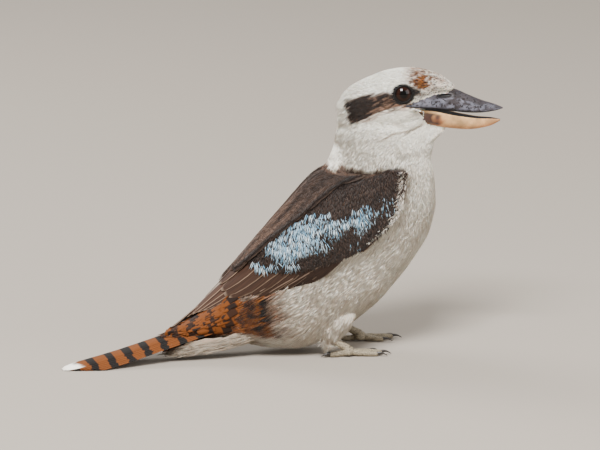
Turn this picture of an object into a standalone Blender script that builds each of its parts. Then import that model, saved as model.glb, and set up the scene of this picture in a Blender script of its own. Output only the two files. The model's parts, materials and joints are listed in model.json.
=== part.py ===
"""A life-size laughing kookaburra, standing on the floor with its tail tip down.

Frame: +X is forward, along the bill, +Y is the bird's left and +Z is up. The origin is on
the floor, half way between the bill tip and the tail tip. Lengths in the tables are
millimetres; MM turns them to metres where points are made.
"""

import math

import bmesh
import bpy
import numpy as np

MM = 0.001
GAP = 0.3  # between pieces that meet face to face
LEFT, RIGHT = 1, -1

# Tail coverts, trunk and neck, up to the inside of the head. Each rib runs from the bird's
# back to its belly: back x, back z, belly x, belly z, half width.
TRUNK_RIBS = [
    (-100.0, 21.5, -98.0, 16.5, 4.5),
    (-78.0, 30.0, -70.0, 16.0, 12.0),
    (-58.0, 43.0, -42.0, 12.5, 18.5),
    (-44.0, 59.0, -20.0, 7.0, 25.0),
    (-33.5, 74.0, 0.0, 4.5, 31.0),
    (-22.0, 90.5, 22.0, 6.0, 36.0),
    (-10.0, 106.0, 46.0, 17.0, 39.5),
    (1.5, 119.0, 72.0, 36.0, 41.5),
    (12.5, 130.8, 93.0, 57.5, 42.0),
    (22.5, 140.2, 108.5, 77.5, 42.0),
    (31.0, 147.4, 119.0, 98.5, 40.0),
    (37.5, 155.5, 123.8, 121.5, 36.5),
    (42.0, 165.0, 122.0, 141.5, 33.0),
    (44.0, 176.0, 120.0, 157.0, 30.0),
    (45.5, 187.0, 121.0, 168.5, 27.0),
    (47.0, 194.0, 119.5, 177.0, 24.0),
    (53.0, 200.0, 108.0, 186.0, 19.0),
]
TRUNK_ROUNDNESS, HEAD_ROUNDNESS = 2.2, 2.35
# Skull under its feathers, from the nape over the lores to the forehead, and the throat
# out to the chin: top x, top z, underside x, underside z, half width.
HEAD_RIBS = [
    (47.0, 203.0, 46.5, 188.0, 13.0),
    (53.5, 212.5, 53.5, 181.0, 20.5),
    (64.0, 219.8, 64.0, 177.0, 24.8),
    (80.0, 226.2, 80.0, 176.5, 26.8),
    (95.0, 229.3, 96.0, 178.0, 26.2),
    (106.0, 229.6, 105.0, 184.0, 22.6),
    (115.0, 228.2, 112.0, 195.0, 17.8),
    (124.0, 225.4, 119.5, 202.5, 13.6),
    (131.5, 221.3, 127.5, 206.5, 9.8),
    (136.5, 216.2, 133.0, 209.5, 6.2),
    (139.0, 212.2, 137.0, 210.5, 2.4),
]
CHIN_RIBS = [
    (84.0, 196.0, 86.0, 166.0, 23.0),
    (99.0, 196.0, 103.0, 166.5, 20.5),
    (109.0, 192.0, 115.0, 168.5, 16.0),
    (116.5, 187.0, 122.0, 172.0, 11.0),
    (122.5, 183.2, 126.5, 176.0, 6.5),
    (126.0, 181.5, 128.0, 179.2, 2.2),
]
# Upper and lower halves of the bill: x, ridge z, cutting edge z, half width.
UPPER_BILL = [
    (101.0, 205.5, 200.4, 14.6),
    (114.0, 209.5, 198.9, 12.9),
    (126.0, 211.8, 197.0, 11.0),
    (139.0, 211.4, 194.8, 9.2),
    (150.0, 206.8, 193.2, 7.5),
    (161.0, 202.0, 192.6, 5.4),
    (171.0, 198.7, 193.4, 3.2),
    (178.2, 195.6, 194.8, 0.7),
]
LOWER_BILL = [
    (102.0, 186.0, 198.9, 14.0),
    (114.0, 182.6, 197.0, 12.0),
    (126.0, 180.8, 194.6, 9.9),
    (138.0, 179.2, 191.4, 8.1),
    (148.5, 178.2, 189.3, 6.6),
    (158.0, 178.7, 187.8, 5.1),
    (168.5, 181.0, 187.1, 3.4),
    (176.0, 184.8, 186.0, 0.8),
]
GAPE = (99.5, 200.0)  # corner of the mouth: x, z
MOUTH_HEIGHT = 0.5  # half the height of the slit at the corner
BILL_ARCH, BILL_INSET = 1.15, 0.09  # how peaked its ridge is, how hollow its mouth side
NOSTRIL = (130.5, 8.2, 206.6)
NOSTRIL_SIZE = (4.6, 1.3, 0.9)

EYE = (97.6, 17.8, 211.9)  # centre of the left eyeball
EYE_RADIUS = 9.4
LID_THICKNESS = 1.0
LID_OPENING = (7.1, 6.6)  # half length and half height
EYE_ASPECT = 8.0  # degrees that each eye looks forward
EYE_TILT = 0.1  # and how much it looks up, as a slope

HEAD_TURN = -6.0  # degrees: the head is turned a little to the bird's right
HEAD_PIVOT = (82.0, 0.0)  # x, y
# The planes that part the head from the neck, the neck from the trunk and the trunk from
# the tail: x and z at the nape side, then at the throat side.
HEAD_CUT = (44.0, 185.0, 122.0, 168.0)
NECK_CUT = (36.0, 153.5, 123.0, 137.0)
TAIL_CUT = (-44.0, 62.0, -17.0, 4.0)

# Folded wing: the bird's outline over the wing at stations from shoulder to wing tip.
# Station, back x, back z, lower edge x, lower edge z, half width, lower edge half width,
# share of the way down where the wing is widest, roundness of the back.
WING_RIBS = [
    (0.00, 52.0, 152.0, 98.5, 136.5, 42.5, 41.0, 0.80, 2.0),
    (0.12, 28.0, 147.0, 88.5, 116.5, 47.5, 46.5, 0.78, 2.0),
    (0.30, 2.5, 122.0, 62.0, 95.0, 49.5, 48.5, 0.76, 2.0),
    (0.50, -23.5, 93.5, 29.0, 74.0, 45.5, 44.0, 0.80, 1.9),
    (0.70, -43.0, 71.5, -8.0, 55.5, 33.0, 32.0, 0.88, 1.7),
    (0.85, -60.5, 53.0, -39.5, 43.5, 21.0, 20.5, 0.95, 1.5),
    (1.00, -79.5, 34.0, -75.0, 31.5, 10.5, 10.5, 1.00, 1.4),
]
LEFT_WING_SLIP = 15.0  # how much further back the left wing's tip lies
WING_LONG, WING_DEEP = 165.0, 75.0  # rough size of the outline, to measure over it

# The fleshy part of the wing lies under the tiers of feathers and on the trunk.
PAD_STATIONS, PAD_SHARES = (0.0, 0.60), (0.035, 0.93)
PAD_DEPTH = 13.0  # cut back by the trunk it lies on
PAD_EDGE_SINK, PAD_EDGE_DEPTH = 3.0, 0.8  # its rim is drawn in and thin
PAD_CORNER, PAD_CORNER_STATION = 0.14, 0.10  # how far the front corners are rounded off

VANE_THICKNESS = 0.5
VANE_SHAPE = ((0.0, 0.7), (0.25, 0.95), (0.6, 1.0), (0.88, 0.85), (1.0, 0.35))  # share, width
TOP_DEPTH = 0.25  # of the outermost feathers' middle under the outline
TIER_STEP = 2.1  # each tier lies this much under the one above
TIER_RAMP, TIER_LEAD = 12.0, 9.0  # length of that step, and how far past the tips it starts
ROOT_SINK, ROOT_SHARE = 1.2, 0.2  # how deep a root goes, and over what share of the feather
# Tiers of the folded wing, from the outermost in. Number, first and last root (station,
# share of the way down), first and last tip, half width, shingle tilt.
WING_TIERS = {
    "scapular": (5, (0.03, 0.17), (0.42, 0.07), (0.18, 0.25), (0.71, 0.10), 5.6, 0.0),
    "greater_covert": (7, (0.19, 0.89), (0.27, 0.22), (0.42, 0.94), (0.59, 0.17), 5.2, 0.10),
    "secondary": (7, (0.33, 0.89), (0.36, 0.22), (0.62, 0.95), (0.80, 0.11), 4.8, 0.11),
    "primary": (5, (0.47, 0.89), (0.47, 0.42), (0.84, 0.90), (1.00, 0.40), 4.4, 0.12),
}

# Tail: the middle line from root to tip, as x, z, and how far it sways to the right.
TAIL_LINE = [(-12.0, 37.0), (-45.0, 30.0), (-90.0, 18.6), (-135.0, 7.0), (-180.5, 1.7)]
SWAY_START, SWAY_SPAN, SWAY, SWAY_POWER = -12.0, 165.0, -28.5, 1.6
TAIL_PAIRS = 6
TAIL_FEATHER_HALF_WIDTH, TAIL_COVERT_HALF_WIDTH = 9.0, 8.0
TAIL_ROOT = 0.06  # share of the tail's line where its feathers start, inside the coverts
TAIL_FEATHER_SHAPE = (0.55, 0.8, 0.95, 1.0, 0.85, 0.4)
COVERT_SHAPE = (0.8, 1.0, 0.9, 0.4)
TAIL_SPREAD = 12.5  # sideways step of the outermost feather's middle line at the tip
TAIL_TOP = 1.2  # how far the top feather lies over the middle line
TAIL_STEP_DOWN = 0.9  # each pair lies this much lower than the pair above it
TAIL_SHORTER = 0.02  # each pair ends this share of the tail before the pair above it
# Tail coverts: sideways from the middle, down from the middle, end as a share of the tail.
UPPER_COVERTS = [(8.5, -2.8, 0.46), (-8.5, -2.8, 0.46), (15.0, -1.9, 0.38), (-15.0, -1.9, 0.38)]
UNDER_COVERTS = [(6.0, 7.0, 0.52), (-6.0, 7.6, 0.50), (13.0, 6.2, 0.43), (-13.0, 6.2, 0.43)]

# Legs. Feathered thigh: x, z, half length, half width from the hip down to the heel.
THIGH_RIBS = [
    (50.0, 64.0, 24.0, 11.0),
    (48.0, 50.0, 21.5, 12.5),
    (43.0, 36.0, 16.5, 11.0),
    (38.0, 24.0, 11.0, 8.5),
    (35.0, 16.0, 7.0, 6.0),
    (33.5, 11.0, 4.4, 4.0),
]
THIGH_SLOPE = (-0.45, 0.0, -1.0)  # which way it runs
THIGH_Y = (19.0, 24.0)  # at the hip and at the heel
HEEL = (35.0, 24.0, 14.0)
ANKLE = (49.0, 24.0, 6.0)
SHANK_RADII = (3.5, 3.0, 3.4)
PALM = (5.8, 4.6, 3.5)  # half sizes of the pad under the ankle
PALM_HEIGHT = 2.7
LEG_STRIDE = {LEFT: 15.0, RIGHT: 0.0}  # how far forward each foot stands
# Toes: direction in degrees from forward, outwards positive, length, radius.
TOES = {
    "inner": (-20.0, 20.0, 2.5),
    "middle": (2.0, 27.0, 2.8),
    "outer": (13.0, 24.0, 2.5),
    "hind": (172.0, 15.0, 2.6),
}
CLAW_LENGTH, CLAW_RADIUS, CLAW_TIP_RADIUS = 8.5, 1.5, 0.25
CLAW_ROOT, CLAW_ARCH, CLAW_TIP_HEIGHT = 1.5, 1.6, 0.5  # sunk into the toe, bowed, off the floor
SOLE_DEPTH = 0.5  # how much of each pad is flattened against the floor

SMOOTH_ANGLE = 40.0  # edges sharper than this stay sharp in the shading

COLOURS = {
    "white_plumage": (0.80, 0.77, 0.70),
    "brown_plumage": (0.12, 0.07, 0.045),
    "rufous_plumage": (0.50, 0.19, 0.05),
    "dark_horn": (0.10, 0.11, 0.14),
    "pale_horn": (0.62, 0.45, 0.32),
    "eye": (0.02, 0.01, 0.008),
    "scaly_skin": (0.52, 0.46, 0.34),
}


# Curves and rings

def smooth_rows(rows, count):
    """A smooth curve through the rows of a table, as count rows evenly along it."""
    rows = np.array(rows, float)
    padded = np.vstack([2 * rows[0] - rows[1], rows, 2 * rows[-1] - rows[-2]])
    made = []
    for at in np.linspace(0, len(rows) - 1, count):
        i = min(int(at), len(rows) - 2)
        u = at - i
        a, b, c, d = padded[i : i + 4]
        made.append(
            0.5 * (2 * b + (c - a) * u + (2 * a - 5 * b + 4 * c - d) * u**2)
            + 0.5 * (3 * b - a - 3 * c + d) * u**3
        )
    return np.array(made)


def sway(x):
    """How far the rear of the body and the tail lie to the right of the middle."""
    return SWAY * (max(0.0, SWAY_START - x) / SWAY_SPAN) ** SWAY_POWER


def rib_ring(rib, sides, grow=0.0, roundness=2.0):
    """A closed ring of points round one rib: an upright oval from its back to its belly."""
    back, belly = np.array([rib[0], 0, rib[1]]), np.array([rib[2], 0, rib[3]])
    middle, up = (back + belly) / 2, (back - belly) / 2
    depth = np.linalg.norm(up)
    up = up / depth
    ring = []
    for k in range(sides):
        turn = 2 * math.pi * k / sides
        c, s = math.cos(turn), math.sin(turn)
        height = math.copysign(abs(c) ** (2 / roundness), c) * (depth + grow)
        across = math.copysign(abs(s) ** (2 / roundness), s) * (rib[4] + grow)
        point = middle + up * height
        ring.append(point + np.array([0, across + sway(point[0]), 0]))
    return np.array(ring)


def path_ring(centre, along, across, half_across, half_up, sides):
    """A ring of points round a path, square to it."""
    along = along / np.linalg.norm(along)
    across = across - along * np.dot(across, along)
    across = across / np.linalg.norm(across)
    up = np.cross(along, across)
    turns = 2 * math.pi * np.arange(sides) / sides
    ring = np.outer(np.cos(turns) * half_up, up) + np.outer(np.sin(turns) * half_across, across)
    return centre + ring


wing_table = smooth_rows(WING_RIBS, 31)
tail_line = np.array([(x, sway(x), z) for x, z in smooth_rows(TAIL_LINE, 21)])


# Solids

def new_object(name, bm, colour):
    """An object of the bird's collection, from a bmesh whose points are millimetres."""
    bmesh.ops.scale(bm, vec=(MM, MM, MM), verts=bm.verts)
    bmesh.ops.recalc_face_normals(bm, faces=bm.faces)
    mesh = bpy.data.meshes.new(name)
    bm.to_mesh(mesh)
    bm.free()
    obj = bpy.data.objects.new(name, mesh)
    bird.objects.link(obj)
    mesh.materials.append(materials[colour])
    return obj


def loft(name, rings, colour):
    """A closed solid through rings of the same number of points, its ends drawn to a point.

    Its quads are split alike whatever its size, so that a cutter grown by the gap stays
    clear of the solid that it makes room for.
    """
    bm = bmesh.new()
    rows = [[bm.verts.new(p) for p in ring] for ring in rings]
    for low, high in zip(rows, rows[1:]):
        for k in range(len(low)):
            n = (k + 1) % len(low)
            bm.faces.new((low[k], low[n], high[n]))
            bm.faces.new((low[k], high[n], high[k]))
    for ring, points in ((rows[0], rings[0]), (rows[-1], rings[-1])):
        pole = bm.verts.new(np.mean(points, axis=0))
        for k in range(len(ring)):
            bm.faces.new((ring[k], ring[(k + 1) % len(ring)], pole))
    return new_object(name, bm, colour)


def tube(name, points, radii, sides, colour, flatness=1.0):
    """A round solid along a path, with a radius at each of its points."""
    points = np.array(points, float)
    directions = np.gradient(points, axis=0)
    rings = []
    for centre, along, radius in zip(points, directions, radii):
        sideways = np.cross(along, [0, 0, 1.0])
        if np.linalg.norm(sideways) < 1e-6:
            sideways = np.array([0, 1.0, 0])
        rings.append(path_ring(centre, along, sideways, radius, radius * flatness, sides))
    return loft(name, rings, colour)


def vane(name, centres, normals, half_widths, tilt, colour):
    """A feather's flat vane along a path, lying square to its normals and tipped by tilt."""
    centres, normals = np.array(centres), np.array(normals)
    directions = np.gradient(centres, axis=0)
    bm = bmesh.new()
    rows = []
    for centre, normal, along, half in zip(centres, normals, directions, half_widths):
        across = np.cross(normal, along)
        across = across / np.linalg.norm(across) + tilt * normal
        up = normal * VANE_THICKNESS / 2
        corners = (
            centre - across * half + up,
            centre + across * half + up,
            centre + across * half - up,
            centre - across * half - up,
        )
        rows.append([bm.verts.new(p) for p in corners])
    for low, high in zip(rows, rows[1:]):
        bm.faces.new((low[0], low[1], high[1]))
        bm.faces.new((low[0], high[1], high[0]))
        bm.faces.new((low[3], high[2], low[2]))
        bm.faces.new((low[3], high[3], high[2]))
        bm.faces.new((low[1], low[2], high[2], high[1]))
        bm.faces.new((low[3], low[0], high[0], high[3]))
    bm.faces.new(rows[0])
    bm.faces.new(rows[-1])
    return new_object(name, bm, colour)


def ellipsoid(name, centre, radii, colour, segments=24):
    bm = bmesh.new()
    bmesh.ops.create_uvsphere(bm, u_segments=segments, v_segments=segments // 2, radius=1)
    bmesh.ops.scale(bm, vec=radii, verts=bm.verts)
    bmesh.ops.translate(bm, vec=centre, verts=bm.verts)
    return new_object(name, bm, colour)


def drop(obj):
    bpy.data.objects.remove(obj)


def bake_modifiers(obj):
    """Replaces an object's mesh by what its modifiers make, and keeps its largest piece."""
    bpy.context.view_layer.update()
    graph = bpy.context.evaluated_depsgraph_get()
    mesh = bpy.data.meshes.new_from_object(obj.evaluated_get(graph))
    obj.modifiers.clear()
    obj.data = mesh
    keep_largest(obj)


def keep_largest(obj):
    bm = bmesh.new()
    bm.from_mesh(obj.data)
    bm.faces.ensure_lookup_table()
    left, pieces = set(bm.faces), []
    while left:
        edge_of_piece, piece = [left.pop()], set()
        while edge_of_piece:
            face = edge_of_piece.pop()
            piece.add(face)
            for edge in face.edges:
                for other in edge.link_faces:
                    if other in left:
                        left.remove(other)
                        edge_of_piece.append(other)
        pieces.append(piece)
    largest = max(pieces, key=lambda piece: sum(face.calc_area() for face in piece))
    bmesh.ops.delete(bm, geom=[f for f in bm.faces if f not in largest], context="FACES")
    loose = [v for v in bm.verts if not v.link_faces]
    bmesh.ops.delete(bm, geom=loose, context="VERTS")
    bm.to_mesh(obj.data)
    bm.free()


def join(first, others):
    """Fuses the other objects into the first."""
    group = bpy.data.collections.new(first.name + "_pieces")
    for obj in others:
        group.objects.link(obj)
    modifier = first.modifiers.new("join", "BOOLEAN")
    modifier.operation = "UNION"
    modifier.solver = "EXACT"
    modifier.operand_type = "COLLECTION"
    modifier.collection = group
    bake_modifiers(first)
    for obj in others:
        drop(obj)
    bpy.data.collections.remove(group)
    return first


def cut(obj, cutter):
    """Cuts the cutter's shape out of an object, and removes the cutter."""
    modifier = obj.modifiers.new("cut", "BOOLEAN")
    modifier.operation = "DIFFERENCE"
    modifier.solver = "EXACT"
    modifier.object = cutter
    bake_modifiers(obj)
    drop(cutter)
    return obj


def keep_beyond(obj, point, normal):
    """Cuts an object by a plane, closes the cut and keeps what the normal points to."""
    bm = bmesh.new()
    bm.from_mesh(obj.data)
    geometry = bm.verts[:] + bm.edges[:] + bm.faces[:]
    made = bmesh.ops.bisect_plane(
        bm,
        geom=geometry,
        dist=1e-7,
        plane_co=[c * MM for c in point],
        plane_no=normal,
        clear_inner=True,
    )
    rim = [e for e in made["geom_cut"] if isinstance(e, bmesh.types.BMEdge)]
    bmesh.ops.edgeloop_fill(bm, edges=[e for e in rim if e.is_valid and len(e.link_faces) == 1])
    bmesh.ops.recalc_face_normals(bm, faces=bm.faces)
    bm.to_mesh(obj.data)
    bm.free()
    return obj


def part_by(obj, plane, above):
    """Keeps the part of an object above or below a plane that runs from nape to throat."""
    start, end = np.array([plane[0], 0, plane[1]]), np.array([plane[2], 0, plane[3]])
    run = (end - start) / np.linalg.norm(end - start)
    normal = np.array([-run[2], 0, run[0]])
    if not above:
        normal = -normal
    return keep_beyond(obj, start + normal * GAP / 2, normal)


def copy_of(obj, name):
    made = obj.copy()
    made.data = obj.data.copy()
    made.name = name
    bird.objects.link(made)
    return made


def recolour(obj, colour):
    obj.data.materials.clear()
    obj.data.materials.append(materials[colour])


def turned(points):
    """Points of the head in its own straight frame, turned as the bird holds it."""
    points = np.array(points, float)
    angle = math.radians(HEAD_TURN)
    c, s = math.cos(angle), math.sin(angle)
    pivot = np.array([*HEAD_PIVOT, 0])
    turn = np.array([[c, -s, 0], [s, c, 0], [0, 0, 1]])
    return (points - pivot) @ turn.T + pivot


# Head, neck and trunk

def trunk_solid(name, grow=0.0):
    rings = [rib_ring(rib, 22, grow, TRUNK_ROUNDNESS) for rib in smooth_rows(TRUNK_RIBS, 27)]
    return loft(name, rings, "white_plumage")


def head_solid(name, table, rows):
    rings = [turned(rib_ring(rib, 22, 0.0, HEAD_ROUNDNESS)) for rib in smooth_rows(table, rows)]
    return loft(name, rings, "white_plumage")


def bill_ring(x, ridge, edge, half, grow):
    """One section of the bill: a peaked arch over the ridge and a flat side at the edge."""
    way = 1 if ridge > edge else -1
    ridge, edge, half = ridge + way * grow, edge - way * grow, half + grow
    turns = np.linspace(0, math.pi, 11)
    rise = ridge - edge
    arch = [(x, half * math.cos(t), edge + rise * math.sin(t) ** BILL_ARCH) for t in turns]
    floor = [(x, y, edge + rise * BILL_INSET) for y in (-half * 0.5, 0.0, half * 0.5)]
    return np.array(arch + floor)


def bill_solid(name, table, colour, grow=0.0):
    rows = smooth_rows(table, 15)
    rows[0][0] -= grow
    rings = [turned(bill_ring(*row, grow)) for row in rows]
    return loft(name, rings, colour)


def mouth_cutter():
    """The wedge of air between the two halves of the bill, back to the corner of the mouth."""
    upper, lower = smooth_rows(UPPER_BILL, 9), smooth_rows(LOWER_BILL, 9)
    top = [(GAPE[0], GAPE[1] + MOUTH_HEIGHT)] + [(r[0], r[2] - GAP) for r in upper[1:]]
    bottom = [(GAPE[0], GAPE[1] - MOUTH_HEIGHT)] + [(r[0], r[2] + GAP) for r in lower[1:]]
    rings = []
    for y in (-30.0, 30.0):
        outline = [(x, y, z) for x, z in top] + [(x, y, z) for x, z in reversed(bottom)]
        rings.append(turned(outline))
    bm = bmesh.new()
    near, far = ([bm.verts.new(p) for p in ring] for ring in rings)
    for k in range(len(near)):
        n = (k + 1) % len(near)
        bm.faces.new((near[k], near[n], far[n], far[k]))
    bm.faces.new(near)
    bm.faces.new(far)
    return new_object("mouth_cutter", bm, "dark_horn")


def eye_axes(side):
    """The eye's own axes, outward, forward and up, in the head's straight frame."""
    outward = np.array([math.sin(math.radians(EYE_ASPECT)), side, EYE_TILT])
    outward = outward / np.linalg.norm(outward)
    forward = np.cross([0, 0, 1.0], outward) * -side
    forward = forward / np.linalg.norm(forward)
    return outward, forward, np.array([0, 0, 1.0])


def lid_cutter(side):
    """The opening between the lids: an oval plug pushed in along the eye's axis."""
    outward, forward, up = eye_axes(side)
    centre = np.array([EYE[0], side * EYE[1], EYE[2]])
    rings = []
    for reach, widen in ((1.0, 0.9), (EYE_RADIUS - 1.5, 1.0), (EYE_RADIUS + 6.0, 1.35)):
        ring = []
        for k in range(20):
            turn = 2 * math.pi * k / 20
            offset = forward * LID_OPENING[0] * math.cos(turn) + up * LID_OPENING[1] * math.sin(turn)
            ring.append(centre + outward * reach + offset * widen)
        rings.append(turned(ring))
    return loft("lid_cutter", rings, "white_plumage")


def eye_ball(name, side, grow=0.0):
    centre = turned([EYE[0], side * EYE[1], EYE[2]])
    return ellipsoid(name, centre, [EYE_RADIUS + grow] * 3, "eye", 20)


def make_head(whole):
    head = part_by(copy_of(whole, "head"), HEAD_CUT, above=True)
    join(head, [eye_ball("lid", side, GAP + LID_THICKNESS) for side in (LEFT, RIGHT)])
    for side in (LEFT, RIGHT):
        cut(head, lid_cutter(side))
        cut(head, eye_ball("socket", side, GAP))
    cut(head, bill_solid("upper_socket", UPPER_BILL, "dark_horn", GAP))
    cut(head, bill_solid("lower_socket", LOWER_BILL, "dark_horn", GAP))
    cut(head, mouth_cutter())
    return head


def make_bill():
    upper = bill_solid("bill_upper", UPPER_BILL, "dark_horn")
    for side in (LEFT, RIGHT):
        x, y, z = NOSTRIL
        cut(upper, ellipsoid("nostril", turned([x, side * y, z]), NOSTRIL_SIZE, "dark_horn", 10))
    bill_solid("bill_lower", LOWER_BILL, "pale_horn")


def make_body():
    """The head, neck and trunk, modelled as one and parted by thin cuts."""
    skull, chin = head_solid("skull", HEAD_RIBS, 15), head_solid("chin", CHIN_RIBS, 8)
    whole = join(trunk_solid("whole"), [skull, chin])
    make_head(whole)
    neck = part_by(copy_of(whole, "neck"), HEAD_CUT, above=False)
    part_by(neck, NECK_CUT, above=True)
    trunk = part_by(copy_of(whole, "torso"), NECK_CUT, above=False)
    part_by(trunk, TAIL_CUT, above=True)
    drop(whole)


# Wings

def wing_rib(station):
    return [np.interp(station, wing_table[:, 0], column) for column in wing_table.T[1:]]


def wing_surface(side, station, down):
    """A point of the bird's outline over the folded wing."""
    back_x, back_z, low_x, low_z, half, low_half, widest, roundness = wing_rib(station)
    x = back_x + (low_x - back_x) * down
    z = back_z + (low_z - back_z) * down
    if down < widest:
        y = half * (1 - (1 - down / widest) ** roundness) ** (1 / roundness)
    else:
        past = (down - widest) / max(1 - widest, 1e-6)
        y = half + (low_half - half) * past**2
    if side == LEFT:
        x -= LEFT_WING_SLIP * station**2 * 0.86
        z -= LEFT_WING_SLIP * station**2 * 0.35
    return np.array([x, side * max(y, 0.4), z])


def wing_point(side, station, down, height=0.0):
    """A point at a height over the wing's outline, and the outline's normal there."""
    step = 0.02
    here = wing_surface(side, station, down)
    along = wing_surface(side, station + step, down) - wing_surface(side, station - step, down)
    low, high = max(down - step, 0.02), min(down + step, 1.0)
    across = wing_surface(side, station, high) - wing_surface(side, station, low)
    normal = np.cross(along, across) * -side
    normal = normal / np.linalg.norm(normal)
    return here + normal * height, normal


def past_line(station, down, first, last):
    """How far a point lies past a line over the wing, towards its tip, in millimetres."""
    size = np.array([WING_LONG, WING_DEEP])
    start = np.array(first) * size
    run = np.array(last) * size - start
    offset = np.array([station, down]) * size - start
    return (run[0] * offset[1] - run[1] * offset[0]) / np.linalg.norm(run)


def ramp(value):
    value = min(max(value, 0.0), 1.0)
    return value * value * (3 - 2 * value)


def tier_depth(station, down, under):
    """How deep the outline's top tiers, as many as under, push what lies below them."""
    depth = TOP_DEPTH
    for tier in list(WING_TIERS.values())[:under]:
        root_a, root_b, tip_a, tip_b = tier[1:5]
        rooted = ramp(past_line(station, down, root_a, root_b) / TIER_RAMP)
        covered = ramp((TIER_LEAD - past_line(station, down, tip_a, tip_b)) / TIER_RAMP)
        depth += TIER_STEP * rooted * covered
    return depth


def wing_pad(side):
    """The fleshy part of the wing, a curved plate that the trunk is then cut out of."""
    stations = np.linspace(*PAD_STATIONS, 12)
    shares = np.linspace(*PAD_SHARES, 10)
    bm = bmesh.new()
    layers = []
    for outer in (True, False):
        layer = []
        for a, station in enumerate(stations):
            row = []
            corner = PAD_CORNER * max(0.0, 1 - station / PAD_CORNER_STATION) ** 2
            for b, share in enumerate(corner + shares * (1 - 2 * corner)):
                edge = min(a, len(stations) - 1 - a, b, len(shares) - 1 - b)
                depth = tier_depth(station, share, len(WING_TIERS))
                if edge == 0:
                    depth += PAD_EDGE_SINK
                if not outer:
                    depth = depth + PAD_EDGE_DEPTH if edge == 0 else PAD_DEPTH
                row.append(bm.verts.new(wing_point(side, station, share, -depth)[0]))
            layer.append(row)
        layers.append(layer)
    outer, inner = layers
    last_a, last_b = len(stations) - 1, len(shares) - 1
    for a in range(last_a):
        for b in range(last_b):
            for layer in layers:
                bm.faces.new((layer[a][b], layer[a + 1][b], layer[a + 1][b + 1]))
                bm.faces.new((layer[a][b], layer[a + 1][b + 1], layer[a][b + 1]))
    for a in range(last_a):
        for b in (0, last_b):
            bm.faces.new((outer[a][b], outer[a + 1][b], inner[a + 1][b], inner[a][b]))
    for b in range(last_b):
        for a in (0, last_a):
            bm.faces.new((outer[a][b], outer[a][b + 1], inner[a][b + 1], inner[a][b]))
    return new_object("wing_pad", bm, "brown_plumage")


def wing_vane(side, root, tip, half_width, tilt, under):
    """One feather of the folded wing, from its root in the pad to its rounded tip."""
    centres, normals, halves = [], [], []
    for share, width in VANE_SHAPE:
        station = root[0] + (tip[0] - root[0]) * share
        down = root[1] + (tip[1] - root[1]) * share
        sink = ROOT_SINK * max(0.0, 1 - share / ROOT_SHARE)
        depth = tier_depth(station, down, under) + sink
        point, normal = wing_point(side, station, down, -depth)
        centres.append(point)
        normals.append(normal)
        halves.append(half_width * width)
    return vane("vane", centres, normals, halves, tilt * side, "brown_plumage")


def tier_vanes(side, under, tier):
    count, root_a, root_b, tip_a, tip_b, half_width, tilt = tier
    made = []
    for k in range(count):
        share = k / (count - 1)
        root = [a + (b - a) * share for a, b in zip(root_a, root_b)]
        tip = [a + (b - a) * share for a, b in zip(tip_a, tip_b)]
        made.append(wing_vane(side, root, tip, half_width, tilt, under))
    return made


def make_wing(side, name):
    wing = wing_pad(side)
    wing.name = name
    vanes = []
    for under, tier in enumerate(WING_TIERS.values()):
        vanes += tier_vanes(side, under, tier)
    join(wing, vanes)
    cut(wing, trunk_solid("trunk_cutter", GAP))
    return wing


# Tail

def tail_vane(sideways, down, end, half_width, shape):
    """A tail vane: sideways and down from the tail's middle line, to the end share of it."""
    centres, normals = [], []
    for share in np.linspace(TAIL_ROOT, end, len(shape)):
        at = share * (len(tail_line) - 1)
        i = min(int(at), len(tail_line) - 2)
        along = tail_line[i + 1] - tail_line[i]
        point = tail_line[i] + along * (at - i)
        across = np.cross(along, [0, 0, 1.0])
        across = across / np.linalg.norm(across)
        up = np.cross(across, along)
        up = up / np.linalg.norm(up)
        centres.append(point + across * sideways * share - up * down)
        normals.append(up)
    widths = [half_width * width for width in shape]
    return vane("vane", centres, normals, widths, 0.0, "rufous_plumage")


def make_tail():
    """The tail coverts' core with the feathers fused to it, parted from the trunk."""
    tail = trunk_solid("tail")
    recolour(tail, "rufous_plumage")
    vanes = []
    for pair in range(TAIL_PAIRS):
        spread = TAIL_SPREAD * (pair + 0.35) / (TAIL_PAIRS - 0.65)  # the middle pair overlaps
        length = 1.0 - TAIL_SHORTER * pair
        for side in (LEFT, RIGHT):
            lower = TAIL_STEP_DOWN * (pair + (0.0 if side == LEFT else 0.5)) - TAIL_TOP
            half, shape = TAIL_FEATHER_HALF_WIDTH, TAIL_FEATHER_SHAPE
            vanes.append(tail_vane(side * spread, lower, length, half, shape))
    for sideways, down, end in UPPER_COVERTS + UNDER_COVERTS:
        half, shape = TAIL_COVERT_HALF_WIDTH, COVERT_SHAPE
        vanes.append(tail_vane(sideways / end, down, end, half, shape))
    join(tail, vanes)
    part_by(tail, TAIL_CUT, above=False)
    keep_beyond(tail, (0, 0, 0), (0, 0, 1))
    return tail


# Legs

def make_thigh(side, name):
    stride = LEG_STRIDE[side]
    slope, across = np.array(THIGH_SLOPE), np.array([0, 1.0, 0])
    rings = []
    rows = smooth_rows(THIGH_RIBS, 9)
    for k, (x, z, half_long, half_wide) in enumerate(rows):
        share = k / (len(rows) - 1)
        y = THIGH_Y[0] + (THIGH_Y[1] - THIGH_Y[0]) * share
        centre = np.array([x + stride * share, side * y, z])
        rings.append(path_ring(centre, slope, across, half_wide, half_long, 18))
    thigh = loft(name, rings, "white_plumage")
    cut(thigh, trunk_solid("trunk_cutter", GAP))
    return thigh


def leg_joints(side):
    stride, sides = np.array([LEG_STRIDE[side], 0, 0]), np.array([1, side, 1])
    return HEEL * sides + stride, ANKLE * sides + stride


def shank_solid(name, heel, ankle, grow=0.0):
    points = [heel + (ankle - heel) * share for share in (-0.15, 0.0, 0.35, 0.7, 1.0)]
    heel_r, mid_r, ankle_r = SHANK_RADII
    radii = [heel_r * 0.7, heel_r, mid_r, mid_r * 1.05, ankle_r]
    return tube(name, points, [r + grow for r in radii], 12, "scaly_skin")


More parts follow.
